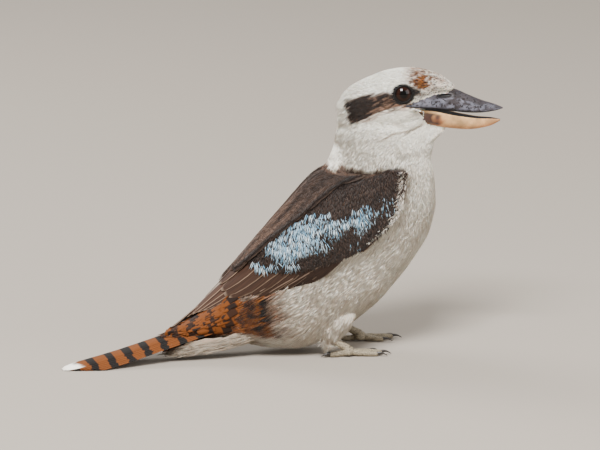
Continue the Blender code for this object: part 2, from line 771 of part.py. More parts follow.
def toe_path(ankle, side, angle, length, radius):
    """The middle line of a toe: from the ankle down to the floor and along it."""
    turn = math.radians(angle)
    forward = np.array([math.cos(turn), side * math.sin(turn), 0])
    heights = (radius + 0.6, radius + 0.3, radius - SOLE_DEPTH, radius - SOLE_DEPTH)
    reaches = (0.0, 0.3, 0.65, 1.0)
    return [
        np.array([ankle[0], ankle[1], 0]) + forward * length * reach + np.array([0, 0, height])
        for reach, height in zip(reaches, heights)
    ], forward


def make_foot(side, name, ankle):
    pieces = []
    for angle, length, radius in TOES.values():
        path, forward = toe_path(ankle, side, angle, length, radius)
        radii = [radius * 1.1, radius * 1.05, radius, radius * 0.8]
        pieces.append(tube("toe", path, radii, 8, "scaly_skin"))
        start = path[-1] - forward * CLAW_ROOT
        claw, claw_radii = [], []
        for share in (0.0, 0.35, 0.7, 1.0):
            rise = CLAW_ARCH * math.sin(share * math.pi) - share * (start[2] - CLAW_TIP_HEIGHT)
            claw.append(start + forward * CLAW_LENGTH * share + np.array([0, 0, rise]))
            claw_radii.append(CLAW_RADIUS * (1 - share) + CLAW_TIP_RADIUS)
        pieces.append(tube("claw", claw, claw_radii, 6, "dark_horn"))
    foot = ellipsoid(name, (ankle[0], ankle[1], PALM_HEIGHT), PALM, "scaly_skin", 12)
    join(foot, pieces)
    keep_beyond(foot, (0, 0, 0), (0, 0, 1))
    return foot


def make_leg(side, word):
    thigh = make_thigh(side, "thigh_" + word)
    heel, ankle = leg_joints(side)
    shank_solid("shank_" + word, heel, ankle)
    foot = make_foot(side, "foot_" + word, ankle)
    cut(thigh, shank_solid("shank_cutter", heel, ankle, GAP))
    cut(foot, shank_solid("shank_cutter", heel, ankle, GAP))


def material(name, colour):
    made = bpy.data.materials.new(name)
    made.use_nodes = True
    shader = made.node_tree.nodes["Principled BSDF"]
    shader.inputs["Base Color"].default_value = (*colour, 1.0)
    shiny = name in ("eye", "dark_horn", "pale_horn")
    shader.inputs["Roughness"].default_value = 0.3 if shiny else 0.85
    made.diffuse_color = (*colour, 1.0)
    return made


for old in list(bpy.data.objects):
    bpy.data.objects.remove(old)
bird = bpy.data.collections.new("laughing_kookaburra")
bpy.context.scene.collection.children.link(bird)
materials = {name: material(name, colour) for name, colour in COLOURS.items()}

make_body()
make_bill()
eye_ball("eye_left", LEFT)
eye_ball("eye_right", RIGHT)
make_wing(LEFT, "wing_left")
make_wing(RIGHT, "wing_right")
make_tail()
make_leg(LEFT, "left")
make_leg(RIGHT, "right")
for solid in bird.objects:
    solid.data.shade_smooth()
    solid.data.set_sharp_from_angle(angle=math.radians(SMOOTH_ANGLE))
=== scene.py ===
# %% [markdown]
# # The looks of a laughing kookaburra, life size
#
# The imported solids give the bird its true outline. This lesson dresses them: one smooth skin
# under everything, a coat of fine tufts that follows the lie of the plumage, wing and tail
# feathers built vane by vane, and then the bill, the eyes, the lids and the scaly feet.
# All the tables are in millimetres, in the bird's own frame: +X is forward, +Y is the bird's
# left and +Z is up, with the floor at zero.

import json
import math

import bmesh
import bpy
import numpy as np
from mathutils import Matrix, Vector
from mathutils.kdtree import KDTree

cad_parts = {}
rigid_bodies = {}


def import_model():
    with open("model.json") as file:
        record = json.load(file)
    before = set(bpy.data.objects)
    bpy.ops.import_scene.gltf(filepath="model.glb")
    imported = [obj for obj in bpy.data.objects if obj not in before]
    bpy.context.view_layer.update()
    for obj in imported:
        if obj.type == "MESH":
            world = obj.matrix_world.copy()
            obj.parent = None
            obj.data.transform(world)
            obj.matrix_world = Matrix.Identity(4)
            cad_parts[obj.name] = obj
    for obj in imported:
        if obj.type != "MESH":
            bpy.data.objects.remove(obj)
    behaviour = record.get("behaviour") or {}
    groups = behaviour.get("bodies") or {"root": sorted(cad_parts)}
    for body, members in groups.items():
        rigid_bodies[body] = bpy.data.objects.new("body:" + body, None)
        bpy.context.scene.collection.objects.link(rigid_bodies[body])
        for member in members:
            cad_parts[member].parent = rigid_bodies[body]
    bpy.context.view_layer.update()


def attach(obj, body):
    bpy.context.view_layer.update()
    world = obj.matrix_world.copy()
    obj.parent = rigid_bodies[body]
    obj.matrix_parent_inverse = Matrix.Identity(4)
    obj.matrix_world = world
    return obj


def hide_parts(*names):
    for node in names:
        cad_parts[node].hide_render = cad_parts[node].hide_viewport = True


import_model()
MM = 0.001
FLOOR_GAP = 0.3  # mm between the floor and the lowest points
LEFT, RIGHT = 1, -1
SIDES = ((LEFT, "left"), (RIGHT, "right"))
chance = np.random.default_rng(11)


def add_object(name, data):
    """A new object in the scene."""
    made = bpy.data.objects.new(name, data)
    bpy.context.scene.collection.objects.link(made)
    return made


# %% [markdown]
# ## Camera
#
# The photograph was taken with a long lens from a little above the bird's height, so its
# outlines are nearly parallel. A 300 mm lens four metres away gives the same flat
# perspective. The bird faces slightly away from the lens and the picture leans by a degree.

# %% Camera
VIEW_TURN, VIEW_RISE, VIEW_LEAN = -6.0, 13.0, -1.0  # degrees
VIEW_DISTANCE, VIEW_LENS = 4.0, 300.0  # metres, millimetres
VIEW_TARGET = Vector((14.5, 0.0, 103.7)) * MM

turn, rise = math.radians(VIEW_TURN), math.radians(VIEW_RISE)
towards_lens = Vector(
    (math.sin(turn) * math.cos(rise), -math.cos(turn) * math.cos(rise), math.sin(rise))
)
camera = add_object("camera", bpy.data.cameras.new("camera"))
camera.data.lens = VIEW_LENS
camera.data.sensor_width = 36.0
camera.data.clip_end = 50.0
camera.location = VIEW_TARGET + towards_lens * VIEW_DISTANCE
aim = (-towards_lens).to_track_quat("-Z", "Y").to_matrix()
camera.rotation_euler = (aim @ Matrix.Rotation(math.radians(VIEW_LEAN), 3, "Z")).to_euler()
bpy.context.scene.camera = camera
print("camera at", [round(c, 2) for c in camera.location])

# %% [markdown]
# ## Colours and nodes
#
# Every colour is written as the hex value that a paint program shows. Blender's shaders work
# in linear light, so one function turns it. A second one adds a node with its settings and
# links.

# %% Helpers for materials
def paint(code):
    """An sRGB hex colour as the linear RGBA that shaders use."""
    shades = [int(code[i : i + 2], 16) / 255 for i in (1, 3, 5)]
    return tuple(s / 12.92 if s <= 0.04045 else ((s + 0.055) / 1.055) ** 2.4 for s in shades) + (1.0,)


def add_node(tree, kind, settings=None, inputs=None):
    """Adds a node, sets its properties, and fills its sockets with values or links."""
    node = tree.nodes.new(kind)
    for name, value in (settings or {}).items():
        setattr(node, name, value)
    for socket, value in (inputs or {}).items():
        if isinstance(value, bpy.types.NodeSocket):
            tree.links.new(value, node.inputs[socket])
        else:
            node.inputs[socket].default_value = value
    return node


def new_material(name, **shader_values):
    """A material whose shader has these constant values, with its node tree."""
    made = bpy.data.materials.new(name)
    made.use_nodes = True
    shader = made.node_tree.nodes["Principled BSDF"]
    for socket, value in shader_values.items():
        shader.inputs[socket.replace("_", " ")].default_value = value
    return made, made.node_tree


def arithmetic(tree, operation, *values, clamp=False):
    """The result of one sum with sockets and numbers."""
    settings = {"operation": operation, "use_clamp": clamp}
    return add_node(tree, "ShaderNodeMath", settings, dict(enumerate(values))).outputs[0]


def mixed(tree, share, first, second):
    """Two colours mixed by a share, each a socket or a hex value."""
    first, second = (paint(colour) if isinstance(colour, str) else colour for colour in (first, second))
    settings = {"data_type": "RGBA", "blend_type": "MIX"}
    return add_node(tree, "ShaderNodeMix", settings, {0: share, 6: first, 7: second}).outputs[2]


def ranged(tree, value, start, end, low=0.0, high=1.0, kind="SMOOTHSTEP"):
    """A value's way from start to end, as a way from low to high."""
    inputs = {"Value": value, "From Min": start, "From Max": end, "To Min": low, "To Max": high}
    return add_node(tree, "ShaderNodeMapRange", {"interpolation_type": kind}, inputs).outputs[0]


def noise(tree, place, scale, detail, roughness=0.5):
    """Soft random spots at a place, or over the whole object where none is given."""
    inputs = {"Scale": scale, "Detail": detail, "Roughness": roughness}
    if place is not None:
        inputs["Vector"] = place
    return add_node(tree, "ShaderNodeTexNoise", inputs=inputs).outputs["Fac"]


def marks_of(tree):
    """The three markings that the mesh's points carry."""
    marks = add_node(tree, "ShaderNodeAttribute", {"attribute_name": "marks"})
    parts = add_node(tree, "ShaderNodeSeparateColor", inputs={"Color": marks.outputs["Color"]})
    return list(parts.outputs)


def lead_colour(tree, colour, value=None):
    """Leads a colour to the shader, made darker or lighter by a value."""
    if value is not None:
        inputs = {"Value": value, "Color": colour}
        colour = add_node(tree, "ShaderNodeHueSaturation", inputs=inputs).outputs["Color"]
    tree.links.new(colour, tree.nodes["Principled BSDF"].inputs["Base Color"])


def lead_bump(tree, height, strength, distance):
    """Leads a height to the shader as a relief, its distance in metres."""
    inputs = {"Strength": strength, "Distance": distance, "Height": height}
    bump = add_node(tree, "ShaderNodeBump", inputs=inputs)
    tree.links.new(bump.outputs["Normal"], tree.nodes["Principled BSDF"].inputs["Normal"])

# %% [markdown]
# ## Floor and light
#
# A plain pale floor fills the picture from every side. The photograph was taken on a
# bright, overcast day, with broad light from above and in front and hardly any hard shadow.
# Large area lights and a pale sky give the same softness.

# %% Floor and light
FLOOR_HALF = 12.0  # metres

floor_mesh = bpy.data.meshes.new("floor")
floor_mesh.from_pydata(
    [(x, y, 0.0) for x, y in ((-1, -1), (1, -1), (1, 1), (-1, 1))], [], [(0, 1, 2, 3)]
)
floor_mesh.transform(Matrix.Diagonal((FLOOR_HALF, FLOOR_HALF, 1.0, 1.0)))
floor = add_object("floor", floor_mesh)
floor_paint, _ = new_material("matt_paper_floor", Base_Color=paint("#9A9186"), Roughness=0.9)
floor_mesh.materials.append(floor_paint)

LIGHTS = {  # place in metres, size, watts
    "soft_key": ((-0.5, -1.6, 2.3), 1.0, 195.0),
    "front_fill": ((1.9, -1.2, 1.0), 1.6, 30.0),
    "back_rim": ((-0.9, 1.3, 1.5), 1.0, 34.0),
}
for name, (place, size, power) in LIGHTS.items():
    lamp = bpy.data.lights.new(name, "AREA")
    lamp.size = size
    lamp.energy = power
    holder = add_object(name, lamp)
    holder.location = place
    holder.rotation_euler = (VIEW_TARGET - Vector(place)).to_track_quat("-Z", "Y").to_euler()
sky = bpy.data.worlds.new("pale_sky")
sky.use_nodes = True
sky.node_tree.nodes["Background"].inputs["Color"].default_value = paint("#F4F1EC")
sky.node_tree.nodes["Background"].inputs["Strength"].default_value = 0.66
bpy.context.scene.world = sky
print("lights:", ", ".join(LIGHTS))

# %% [markdown]
# ## The body's own shape
#
# The solids were lofted through ribs, each running from the bird's back to its belly. The
# same ribs are used here with many more sides, so that the skin is truly smooth.

# %% Tables of the body
TRUNK_RIBS = [  # back x, back z, belly x, belly z, half width
    (-100.0, 21.5, -98.0, 16.5, 4.5),
    (-78.0, 30.0, -70.0, 16.0, 12.0),
    (-58.0, 43.0, -42.0, 12.5, 18.5),
    (-44.0, 59.0, -20.0, 7.0, 25.0),
    (-33.5, 74.0, 0.0, 4.5, 31.0),
    (-22.0, 90.5, 22.0, 6.0, 36.0),
    (-10.0, 106.0, 46.0, 17.0, 39.5),
    (1.5, 119.0, 72.0, 36.0, 41.5),
    (12.5, 130.8, 93.0, 57.5, 42.0),
    (22.5, 140.2, 108.5, 77.5, 42.0),
    (31.0, 147.4, 119.6, 98.5, 40.0),
    (37.4, 155.5, 124.6, 121.5, 36.5),
    (41.2, 165.0, 123.2, 141.5, 33.0),
    (44.6, 176.0, 121.8, 157.0, 30.0),
    (47.0, 187.0, 123.8, 168.5, 27.0),
    (47.0, 194.0, 122.8, 176.0, 24.0),
    (53.0, 200.0, 108.0, 186.0, 19.0),
]
HEAD_RIBS = [  # nape over the lores to the forehead
    (47.0, 203.0, 46.5, 188.0, 13.0),
    (53.5, 212.5, 53.5, 181.0, 20.5),
    (64.0, 219.8, 64.0, 177.0, 24.8),
    (80.0, 226.2, 80.0, 176.5, 26.8),
    (95.0, 229.3, 96.0, 178.0, 26.2),
    (106.0, 229.6, 105.0, 184.0, 22.6),
    (115.0, 228.2, 112.0, 195.0, 17.8),
    (124.0, 225.4, 119.5, 202.5, 13.8),
    (131.5, 221.6, 127.5, 206.5, 10.6),
    (137.0, 217.0, 133.0, 208.5, 7.6),
    (141.0, 213.2, 138.0, 209.8, 4.2),
]
CHIN_RIBS = [
    (84.0, 197.0, 86.0, 166.0, 23.0),
    (98.0, 199.0, 103.0, 166.5, 21.0),
    (108.0, 198.5, 117.0, 166.5, 17.5),
    (115.0, 196.5, 123.6, 169.6, 13.6),
    (120.0, 189.0, 127.6, 173.6, 9.2),
    (125.5, 183.6, 131.2, 176.8, 5.0),
    (130.5, 181.6, 133.6, 178.6, 2.0),
]
THIGH_RIBS = [  # x, z, half length, half width
    (46.0, 64.0, 17.0, 8.0),
    (45.5, 50.0, 17.5, 10.5),
    (42.5, 36.0, 15.0, 10.6),
    (38.0, 24.0, 11.0, 8.5),
    (35.0, 16.0, 7.0, 6.0),
    (33.5, 11.0, 4.4, 4.0),
]
TRUNK_ROUNDNESS, HEAD_ROUNDNESS = 2.2, 2.35
THIGH_SLOPE, THIGH_Y = (-0.45, 0.0, -1.0), (19.0, 24.0)
LEG_STRIDE = {LEFT: 15.0, RIGHT: 0.0}
SWAY_START, SWAY_SPAN, SWAY, SWAY_POWER = -12.0, 165.0, -28.5, 1.6
HEAD_TURN, HEAD_PIVOT = -6.0, (82.0, 0.0)  # degrees to the left; x, y
HEAD_BASE = 175.0  # places higher than this belong to the head


# %% Curves and rings
def smooth_rows(rows, count):
    """A smooth curve through the rows of a table, as count rows evenly along it."""
    rows = np.array(rows, float)
    padded = np.vstack([2 * rows[0] - rows[1], rows, 2 * rows[-1] - rows[-2]])
    at = np.linspace(0, len(rows) - 1, count)
    i = np.minimum(at.astype(int), len(rows) - 2)
    u = (at - i)[:, None]
    a, b, c, d = (padded[i + k] for k in range(4))
    return (
        0.5 * (2 * b + (c - a) * u + (2 * a - 5 * b + 4 * c - d) * u**2)
        + 0.5 * (3 * b - a - 3 * c + d) * u**3
    )


def unit(vectors):
    """The vectors' directions, each of length 1."""
    return vectors / np.maximum(np.linalg.norm(vectors, axis=-1, keepdims=True), 1e-9)


def ring_turns(count):
    """Turns spaced evenly round a ring, in radians."""
    return np.linspace(0, 2 * math.pi, count, endpoint=False)


def fuller(share, roundness):
    """Sines or cosines of a ring, changed to give a fuller section than a plain oval."""
    return np.copysign(np.abs(share) ** (2 / roundness), share)


def laid_flat(ways, normals):
    """Directions laid on a surface, by its normals there."""
    return unit(ways - normals * (ways * normals).sum(1, keepdims=True))


def abreast(*values):
    """Arrays or numbers side by side, as the last axis of one array."""
    return np.stack(np.broadcast_arrays(*values), axis=-1).astype(float)


def sway(x):
    """How far the rear of the body and the tail lie to the bird's right."""
    return SWAY * (np.maximum(0.0, SWAY_START - x) / SWAY_SPAN) ** SWAY_POWER


def turned(points, degrees=HEAD_TURN):
    """Points of the head, modelled looking straight ahead, turned as the bird holds it."""
    c, s = math.cos(math.radians(degrees)), math.sin(math.radians(degrees))
    pivot = np.array([*HEAD_PIVOT, 0.0])
    return (np.asarray(points, float) - pivot) @ np.array([[c, s, 0], [-s, c, 0], [0, 0, 1.0]]) + pivot


def straightened(points):
    """The other way: points of the turned head, as if it looked straight ahead."""
    return turned(points, -HEAD_TURN)


def rib_ring(rib, sides, roundness):
    """A ring of the body through a rib's back and belly."""
    back, belly = np.array([rib[0], 0, rib[1]]), np.array([rib[2], 0, rib[3]])
    middle, up = (back + belly) / 2, (back - belly) / 2
    turns = ring_turns(sides)
    ring = middle + np.outer(fuller(np.cos(turns), roundness), up)
    ring[:, 1] = fuller(np.sin(turns), roundness) * rib[4] + sway(ring[:, 0])
    return ring


def path_ring(centre, along, across, half_across, half_up, sides):
    """A ring round a place of a path, square to the path."""
    along = unit(np.asarray(along, float))
    across = unit(across - along * np.dot(across, along))
    up = np.cross(along, across)
    turns = ring_turns(sides)
    return centre + np.outer(np.cos(turns) * half_up, up) + np.outer(np.sin(turns) * half_across, across)


def band_faces(rows, sides, joined=False):
    """Quads between rings of points, and from the last ring to the first where they are joined."""
    faces = []
    for r in range(rows if joined else rows - 1):
        here, there = r * sides, (r + 1) % rows * sides
        for k in range(sides):
            n = (k + 1) % sides
            faces.append((here + k, here + n, there + n, there + k))
    return faces


def loft_mesh(rings):
    """Points and faces of a closed form through rings, its ends drawn to a point."""
    rings = np.array(rings)
    rows, sides = rings.shape[:2]
    points = np.vstack([rings.reshape(-1, 3), rings[0].mean(0), rings[-1].mean(0)])
    faces, last = band_faces(rows, sides), (rows - 1) * sides
    for k in range(sides):
        n = (k + 1) % sides
        faces.append((n, k, rows * sides))
        faces.append((last + k, last + n, rows * sides + 1))
    return points, faces


def join_forms(forms):
    """Points and faces of several forms as one."""
    points, faces, start = [], [], 0
    for form_points, form_faces in forms:
        points.append(form_points)
        faces += [tuple(k + start for k in face) for face in form_faces]
        start += len(form_points)
    return np.vstack(points), faces


def new_piece(name, points, faces, material):
    """An object from points in millimetres, facing outwards and shaded smooth."""
    mesh = bpy.data.meshes.new(name)
    mesh.from_pydata((np.asarray(points) * MM).tolist(), [], faces)
    bm = bmesh.new()
    bm.from_mesh(mesh)
    bmesh.ops.recalc_face_normals(bm, faces=bm.faces)
    bm.to_mesh(mesh)
    bm.free()
    mesh.shade_smooth()
    if material:
        mesh.materials.append(material)
    return add_object(name, mesh)


def triangles(piece):
    """How many triangles the faces of a piece make."""
    return len(piece.data.loops) - 2 * len(piece.data.polygons)


def fused_mesh(forms, voxel, rounds):
    """One surface round all the forms, its joins melted by rounds of smoothing."""
    rough = new_piece("forms_to_fuse", *join_forms(forms), None)
    remesh = rough.modifiers.new("fuse", "REMESH")
    remesh.mode, remesh.voxel_size = "VOXEL", voxel * MM
    melt = rough.modifiers.new("melt", "SMOOTH")
    melt.factor, melt.iterations = 0.5, rounds
    mesh = bpy.data.meshes.new_from_object(rough.evaluated_get(bpy.context.evaluated_depsgraph_get()))
    bpy.data.objects.remove(rough)
    return mesh


# %% [markdown]
# ## The folded wing's outline
#
# A folded wing is a long curved shield. Two numbers find any place on it: the station, from
# the shoulder at 0 to the wing tip at 1, and the share of the way down from the back to the
# wing's lower edge. Feathers are then placed by these two numbers.

# %% Wing outline
WING_RIBS = [  # station, back x, z, lower edge x, z, half width, lower half, widest, roundness
    (0.00, 52.0, 152.0, 98.5, 136.5, 42.5, 41.0, 0.80, 2.0),
    (0.12, 28.0, 147.0, 88.5, 116.5, 47.5, 46.5, 0.78, 2.0),
    (0.30, 2.5, 122.0, 62.0, 95.0, 49.5, 48.5, 0.76, 2.0),
    (0.50, -23.5, 93.5, 29.0, 74.0, 45.5, 44.0, 0.80, 1.9),
    (0.70, -43.0, 71.5, -8.0, 55.5, 33.0, 32.0, 0.88, 1.7),
    (0.85, -60.5, 53.0, -39.5, 43.5, 21.0, 20.5, 0.95, 1.5),
    (1.00, -79.5, 34.0, -75.0, 31.5, 10.5, 10.5, 1.00, 1.4),
]
LEFT_WING_SLIP = 15.0  # the left wing's tip lies this much further back

wing_table = smooth_rows(WING_RIBS, 31)
before = wing_table[0] + (wing_table[0] - wing_table[1]) * 4
beyond = wing_table[-1] + (wing_table[-1] - wing_table[-2]) * 2
wing_table = np.vstack([before, wing_table, beyond])


def wing_surface(side, station, down):
    """Points of the bird's outline over the folded wing."""
    station, down = np.broadcast_arrays(np.asarray(station, float), np.asarray(down, float))
    columns = [np.interp(station, wing_table[:, 0], column) for column in wing_table.T[1:]]
    back_x, back_z, low_x, low_z, half, low_half, widest, roundness = columns
    x = back_x + (low_x - back_x) * down
    z = back_z + (low_z - back_z) * down
    share = np.clip(1 - down / widest, 0, 1)
    y = half * (1 - share**roundness) ** (1 / roundness)
    past = np.maximum(0, down - widest) / np.maximum(1 - widest, 0.05)
    y = y + (low_half - half) * past**2
    if side == LEFT:
        later = np.clip(station, 0, 1)
        x = x - LEFT_WING_SLIP * later**2 * 1.2
        z = z - LEFT_WING_SLIP * (later**2 * 0.8 + later**2 * (1 - later) * 2.2)
    return abreast(x, side * np.maximum(y, 0.4), z)


def wing_points(side, station, down, height):
    """Points at a height over the wing's outline, and the outline's normals there."""
    step = 0.02
    along = wing_surface(side, station + step, down) - wing_surface(side, station - step, down)
    low, high = np.maximum(down - step, 0.02), np.minimum(down + step, 1.0)
    high = np.maximum(high, low + step)
    across = wing_surface(side, station, high) - wing_surface(side, station, low)
    normals = unit(np.cross(along, across) * -side)
    return wing_surface(side, station, down) + normals * np.asarray(height)[..., None], normals


# %% [markdown]
# ## Skin
#
# Under the plumage one continuous skin covers the head, neck, trunk and thighs, and the
# fleshy front of each wing lies on it. The lofts are dropped into one mesh, a voxel remesh
# fuses them, rounds of smoothing melt the joins, and then every point moves inwards by the
# depth of the coat that will stand on it.

# %% Skin: lofts fused by a voxel remesh
SKIN_VOXEL, SKIN_SMOOTHING = 1.3, 14
PAD_HEIGHT, PAD_DEPTH = -3.4, -12.0  # top and underside of the wing's flesh, from the outline
PAD_STATIONS, PAD_SHARES = (0.02, 0.62), (0.03, 0.93)  # how far it reaches, along and down


def wing_pad_mesh(side):
    """The flesh of the folded wing, a curved plate whose rim is drawn in."""
    (front, rear), (upper, lower) = PAD_STATIONS, PAD_SHARES
    grid_s, grid_d = np.meshgrid(np.linspace(front, rear, 40), np.linspace(upper, lower, 30), indexing="ij")
    rim = np.minimum.reduce([grid_s - front, rear - grid_s, (grid_d - upper) / 2, (lower - grid_d) / 2])
    shoulder = np.clip(1 - (grid_s - front) / 0.16, 0, 1) * np.clip(1 - grid_d / 0.5, 0, 1)
    top = PAD_HEIGHT - 3.0 * np.clip(1 - rim / 0.05, 0, 1) ** 2 - 6.0 * shoulder
    outer, _ = wing_points(side, grid_s, grid_d, top)
    inner, _ = wing_points(side, grid_s, grid_d, np.full_like(top, PAD_DEPTH))
    points = np.vstack([outer.reshape(-1, 3), inner.reshape(-1, 3)])
    rows, columns = grid_s.shape
    half, faces = rows * columns, []
    for a in range(rows - 1):
        for b in range(columns - 1):
            quad = (a * columns + b, (a + 1) * columns + b, (a + 1) * columns + b + 1, a * columns + b + 1)
            faces.append(quad)
            faces.append(tuple(half + k for k in reversed(quad)))
    rim_loop = list(range(columns))
    rim_loop += [a * columns + columns - 1 for a in range(1, rows)]
    rim_loop += [(rows - 1) * columns + b for b in range(columns - 2, -1, -1)]
    rim_loop += [a * columns for a in range(rows - 2, 0, -1)]
    for k, here in enumerate(rim_loop):
        there = rim_loop[(k + 1) % len(rim_loop)]
        faces.append((here, there, half + there, half + here))
    return points, faces


def thigh_rings(side):
    """Rings of a thigh from the trunk down to the shank."""
    rows = smooth_rows(THIGH_RIBS, 26)
    rings = []
    for k, (x, z, half_long, half_wide) in enumerate(rows):
        share = k / (len(rows) - 1)
        y = THIGH_Y[0] + (THIGH_Y[1] - THIGH_Y[0]) * share
        centre = np.array([x + LEG_STRIDE[side] * share, side * y, z])
        rings.append(path_ring(centre, THIGH_SLOPE, np.array([0, 1.0, 0]), half_wide, half_long, 40))
    return rings


forms = [loft_mesh([rib_ring(rib, 72, TRUNK_ROUNDNESS) for rib in smooth_rows(TRUNK_RIBS, 110)])]
forms += [
    loft_mesh([turned(rib_ring(rib, 64, HEAD_ROUNDNESS)) for rib in smooth_rows(table, rows)])
    for table, rows in ((HEAD_RIBS, 60), (CHIN_RIBS, 32))
]
forms += [loft_mesh(thigh_rings(side)) for side in (LEFT, RIGHT)]
forms += [wing_pad_mesh(side) for side in (LEFT, RIGHT)]
fused = fused_mesh(forms, SKIN_VOXEL, SKIN_SMOOTHING)
print("fused body:", len(fused.vertices), "points")

# %% [markdown]
# ## Lie of the coat
#
# Feathers never stand at random: from the bill they sweep back over the crown, down the
# nape and breast, and back again along the belly. A short table of guide places holds the
# direction there, with the length, width, depth and closeness of the tufts. Every other
# place takes a mean of the nearest guides, laid flat against the skin.

# %% Guides of the coat
# x, y, z; lie forward, outward, up; length, width, depth of the coat; tufts for each mm2
GUIDES = [
    (135, 0, 217, -1.0, 0.0, 0.35, 2.6, 0.42, 0.5, 3.2),
    (127, 9, 210, -1.0, 0.25, 0.30, 2.2, 0.40, 0.4, 3.2),
    (120, 0, 226, -1.0, 0.0, 0.15, 3.6, 0.48, 0.9, 2.6),
    (114, 13, 207, -1.0, 0.20, 0.10, 2.4, 0.42, 0.5, 3.2),
    (110, 13, 219, -1.0, 0.20, 0.30, 3.6, 0.46, 0.8, 3.0),
    (95, 0, 229, -1.0, 0.0, -0.05, 5.4, 0.55, 1.6, 2.1),
    (95, 20, 225, -1.0, 0.0, 0.05, 4.0, 0.50, 1.0, 2.6),
    (70, 0, 222, -1.0, 0.0, -0.35, 6.6, 0.60, 2.0, 1.8),
    (72, 22, 213, -1.0, 0.0, -0.15, 5.8, 0.60, 1.6, 2.0),
    (50, 0, 205, -0.5, 0.0, -1.0, 8.5, 0.65, 2.6, 1.5),
    (55, 19, 198, -0.8, 0.0, -0.7, 7.5, 0.62, 2.2, 1.6),
    (85, 26, 203, -1.0, 0.05, -0.20, 4.4, 0.50, 1.0, 2.4),
    (100, 23, 202, -1.0, 0.15, -0.05, 2.6, 0.42, 0.5, 3.0),
    (90, 26, 188, -0.9, 0.05, -0.50, 5.5, 0.55, 1.5, 2.0),
    (104, 19, 190, -0.8, 0.15, -0.50, 3.6, 0.48, 0.8, 2.6),
    (124, 0, 177, -0.8, 0.0, -0.25, 3.6, 0.48, 0.9, 2.6),
    (114, 10, 172, -0.6, 0.1, -0.8, 5.0, 0.52, 1.6, 2.1),
    (112, 0, 167, -0.3, 0.0, -1.0, 6.5, 0.58, 2.2, 1.8),
    (121, 0, 150, -0.1, 0.0, -1.0, 10.5, 0.66, 2.8, 1.4),
    (88, 32, 158, -0.35, 0.0, -1.0, 11.0, 0.64, 2.4, 1.5),
    (44, 0, 172, -0.2, 0.0, -1.0, 10.0, 0.52, 1.8, 2.3),
    (55, 26, 165, -0.45, 0.0, -1.0, 11.0, 0.66, 2.4, 1.5),
    (36, 0, 156, -0.5, 0.0, -1.0, 8.5, 0.50, 1.3, 2.4),
    (27, 0, 143, -0.7, 0.0, -0.9, 10.0, 0.80, 1.8, 1.2),
    (-10, 0, 106, -0.7, 0.0, -0.75, 12.0, 0.90, 2.0, 1.0),
    (-44, 0, 59, -0.8, 0.0, -0.6, 13.0, 0.90, 2.0, 1.0),
    (-80, 0, 29, -1.0, 0.0, -0.3, 13.0, 0.90, 1.6, 1.0),
    (122, 0, 118, -0.15, 0.0, -1.0, 11.5, 0.80, 4.0, 1.15),
    (108, 30, 118, -0.45, 0.1, -0.9, 11.0, 0.78, 3.4, 1.2),
    (104, 0, 72, -0.6, 0.0, -0.85, 13.0, 0.85, 4.5, 1.1),
    (82, 30, 78, -0.72, 0.1, -0.68, 13.0, 0.85, 4.0, 1.15),
    (60, 0, 25, -0.85, 0.0, -0.5, 14.0, 0.90, 4.5, 1.05),
    (50, 34, 62, -0.78, 0.1, -0.62, 13.5, 0.85, 3.6, 1.15),
    (20, 0, 6, -1.0, 0.0, -0.1, 14.0, 0.90, 3.5, 1.05),
    (10, 34, 42, -0.85, 0.1, -0.55, 14.5, 0.85, 3.4, 1.15),
    (-20, 0, 7, -1.0, 0.0, 0.05, 15.0, 0.90, 2.5, 1.05),
    (-20, 26, 32, -0.9, 0.1, -0.45, 14.0, 0.85, 2.8, 1.15),
    (-60, 0, 14, -1.0, 0.0, -0.15, 15.0, 0.90, 1.8, 1.0),
    (52, 31, 52, -0.5, 0.1, -0.9, 12.5, 0.70, 2.4, 1.4),
    (46, 30, 28, -0.45, 0.1, -0.95, 14.0, 0.62, 2.4, 1.7),
    (38, 28, 15, -0.35, 0.1, -1.0, 12.0, 0.48, 1.8, 4.0),
]


def both_sides(rows):
    """The guides with their mirror images, those of the head turned with it."""
    rows = np.array(rows, float)
    rows[:, 3:6] = unit(rows[:, 3:6])
    mirrored = rows[rows[:, 1] > 0] * np.array([1, -1, 1, 1, -1, 1, 1, 1, 1, 1])
    rows = np.vstack([rows, mirrored])
    on_head = rows[:, 2] > HEAD_BASE
    rows[on_head, :3] = turned(rows[on_head, :3])
    return rows


guides = both_sides(GUIDES)


def coat_at(points):
    """Lie, length, width, depth and closeness of the coat at points."""
    answers = []
    for part in np.array_split(points, max(1, len(points) // 20000)):
        apart = ((part[:, None, :] - guides[None, :, :3]) ** 2).sum(-1)
        weights = 1 / (apart + 30.0) ** 2
        weights /= weights.sum(1, keepdims=True)
        answers.append(weights @ guides[:, 3:])
    return np.vstack(answers)
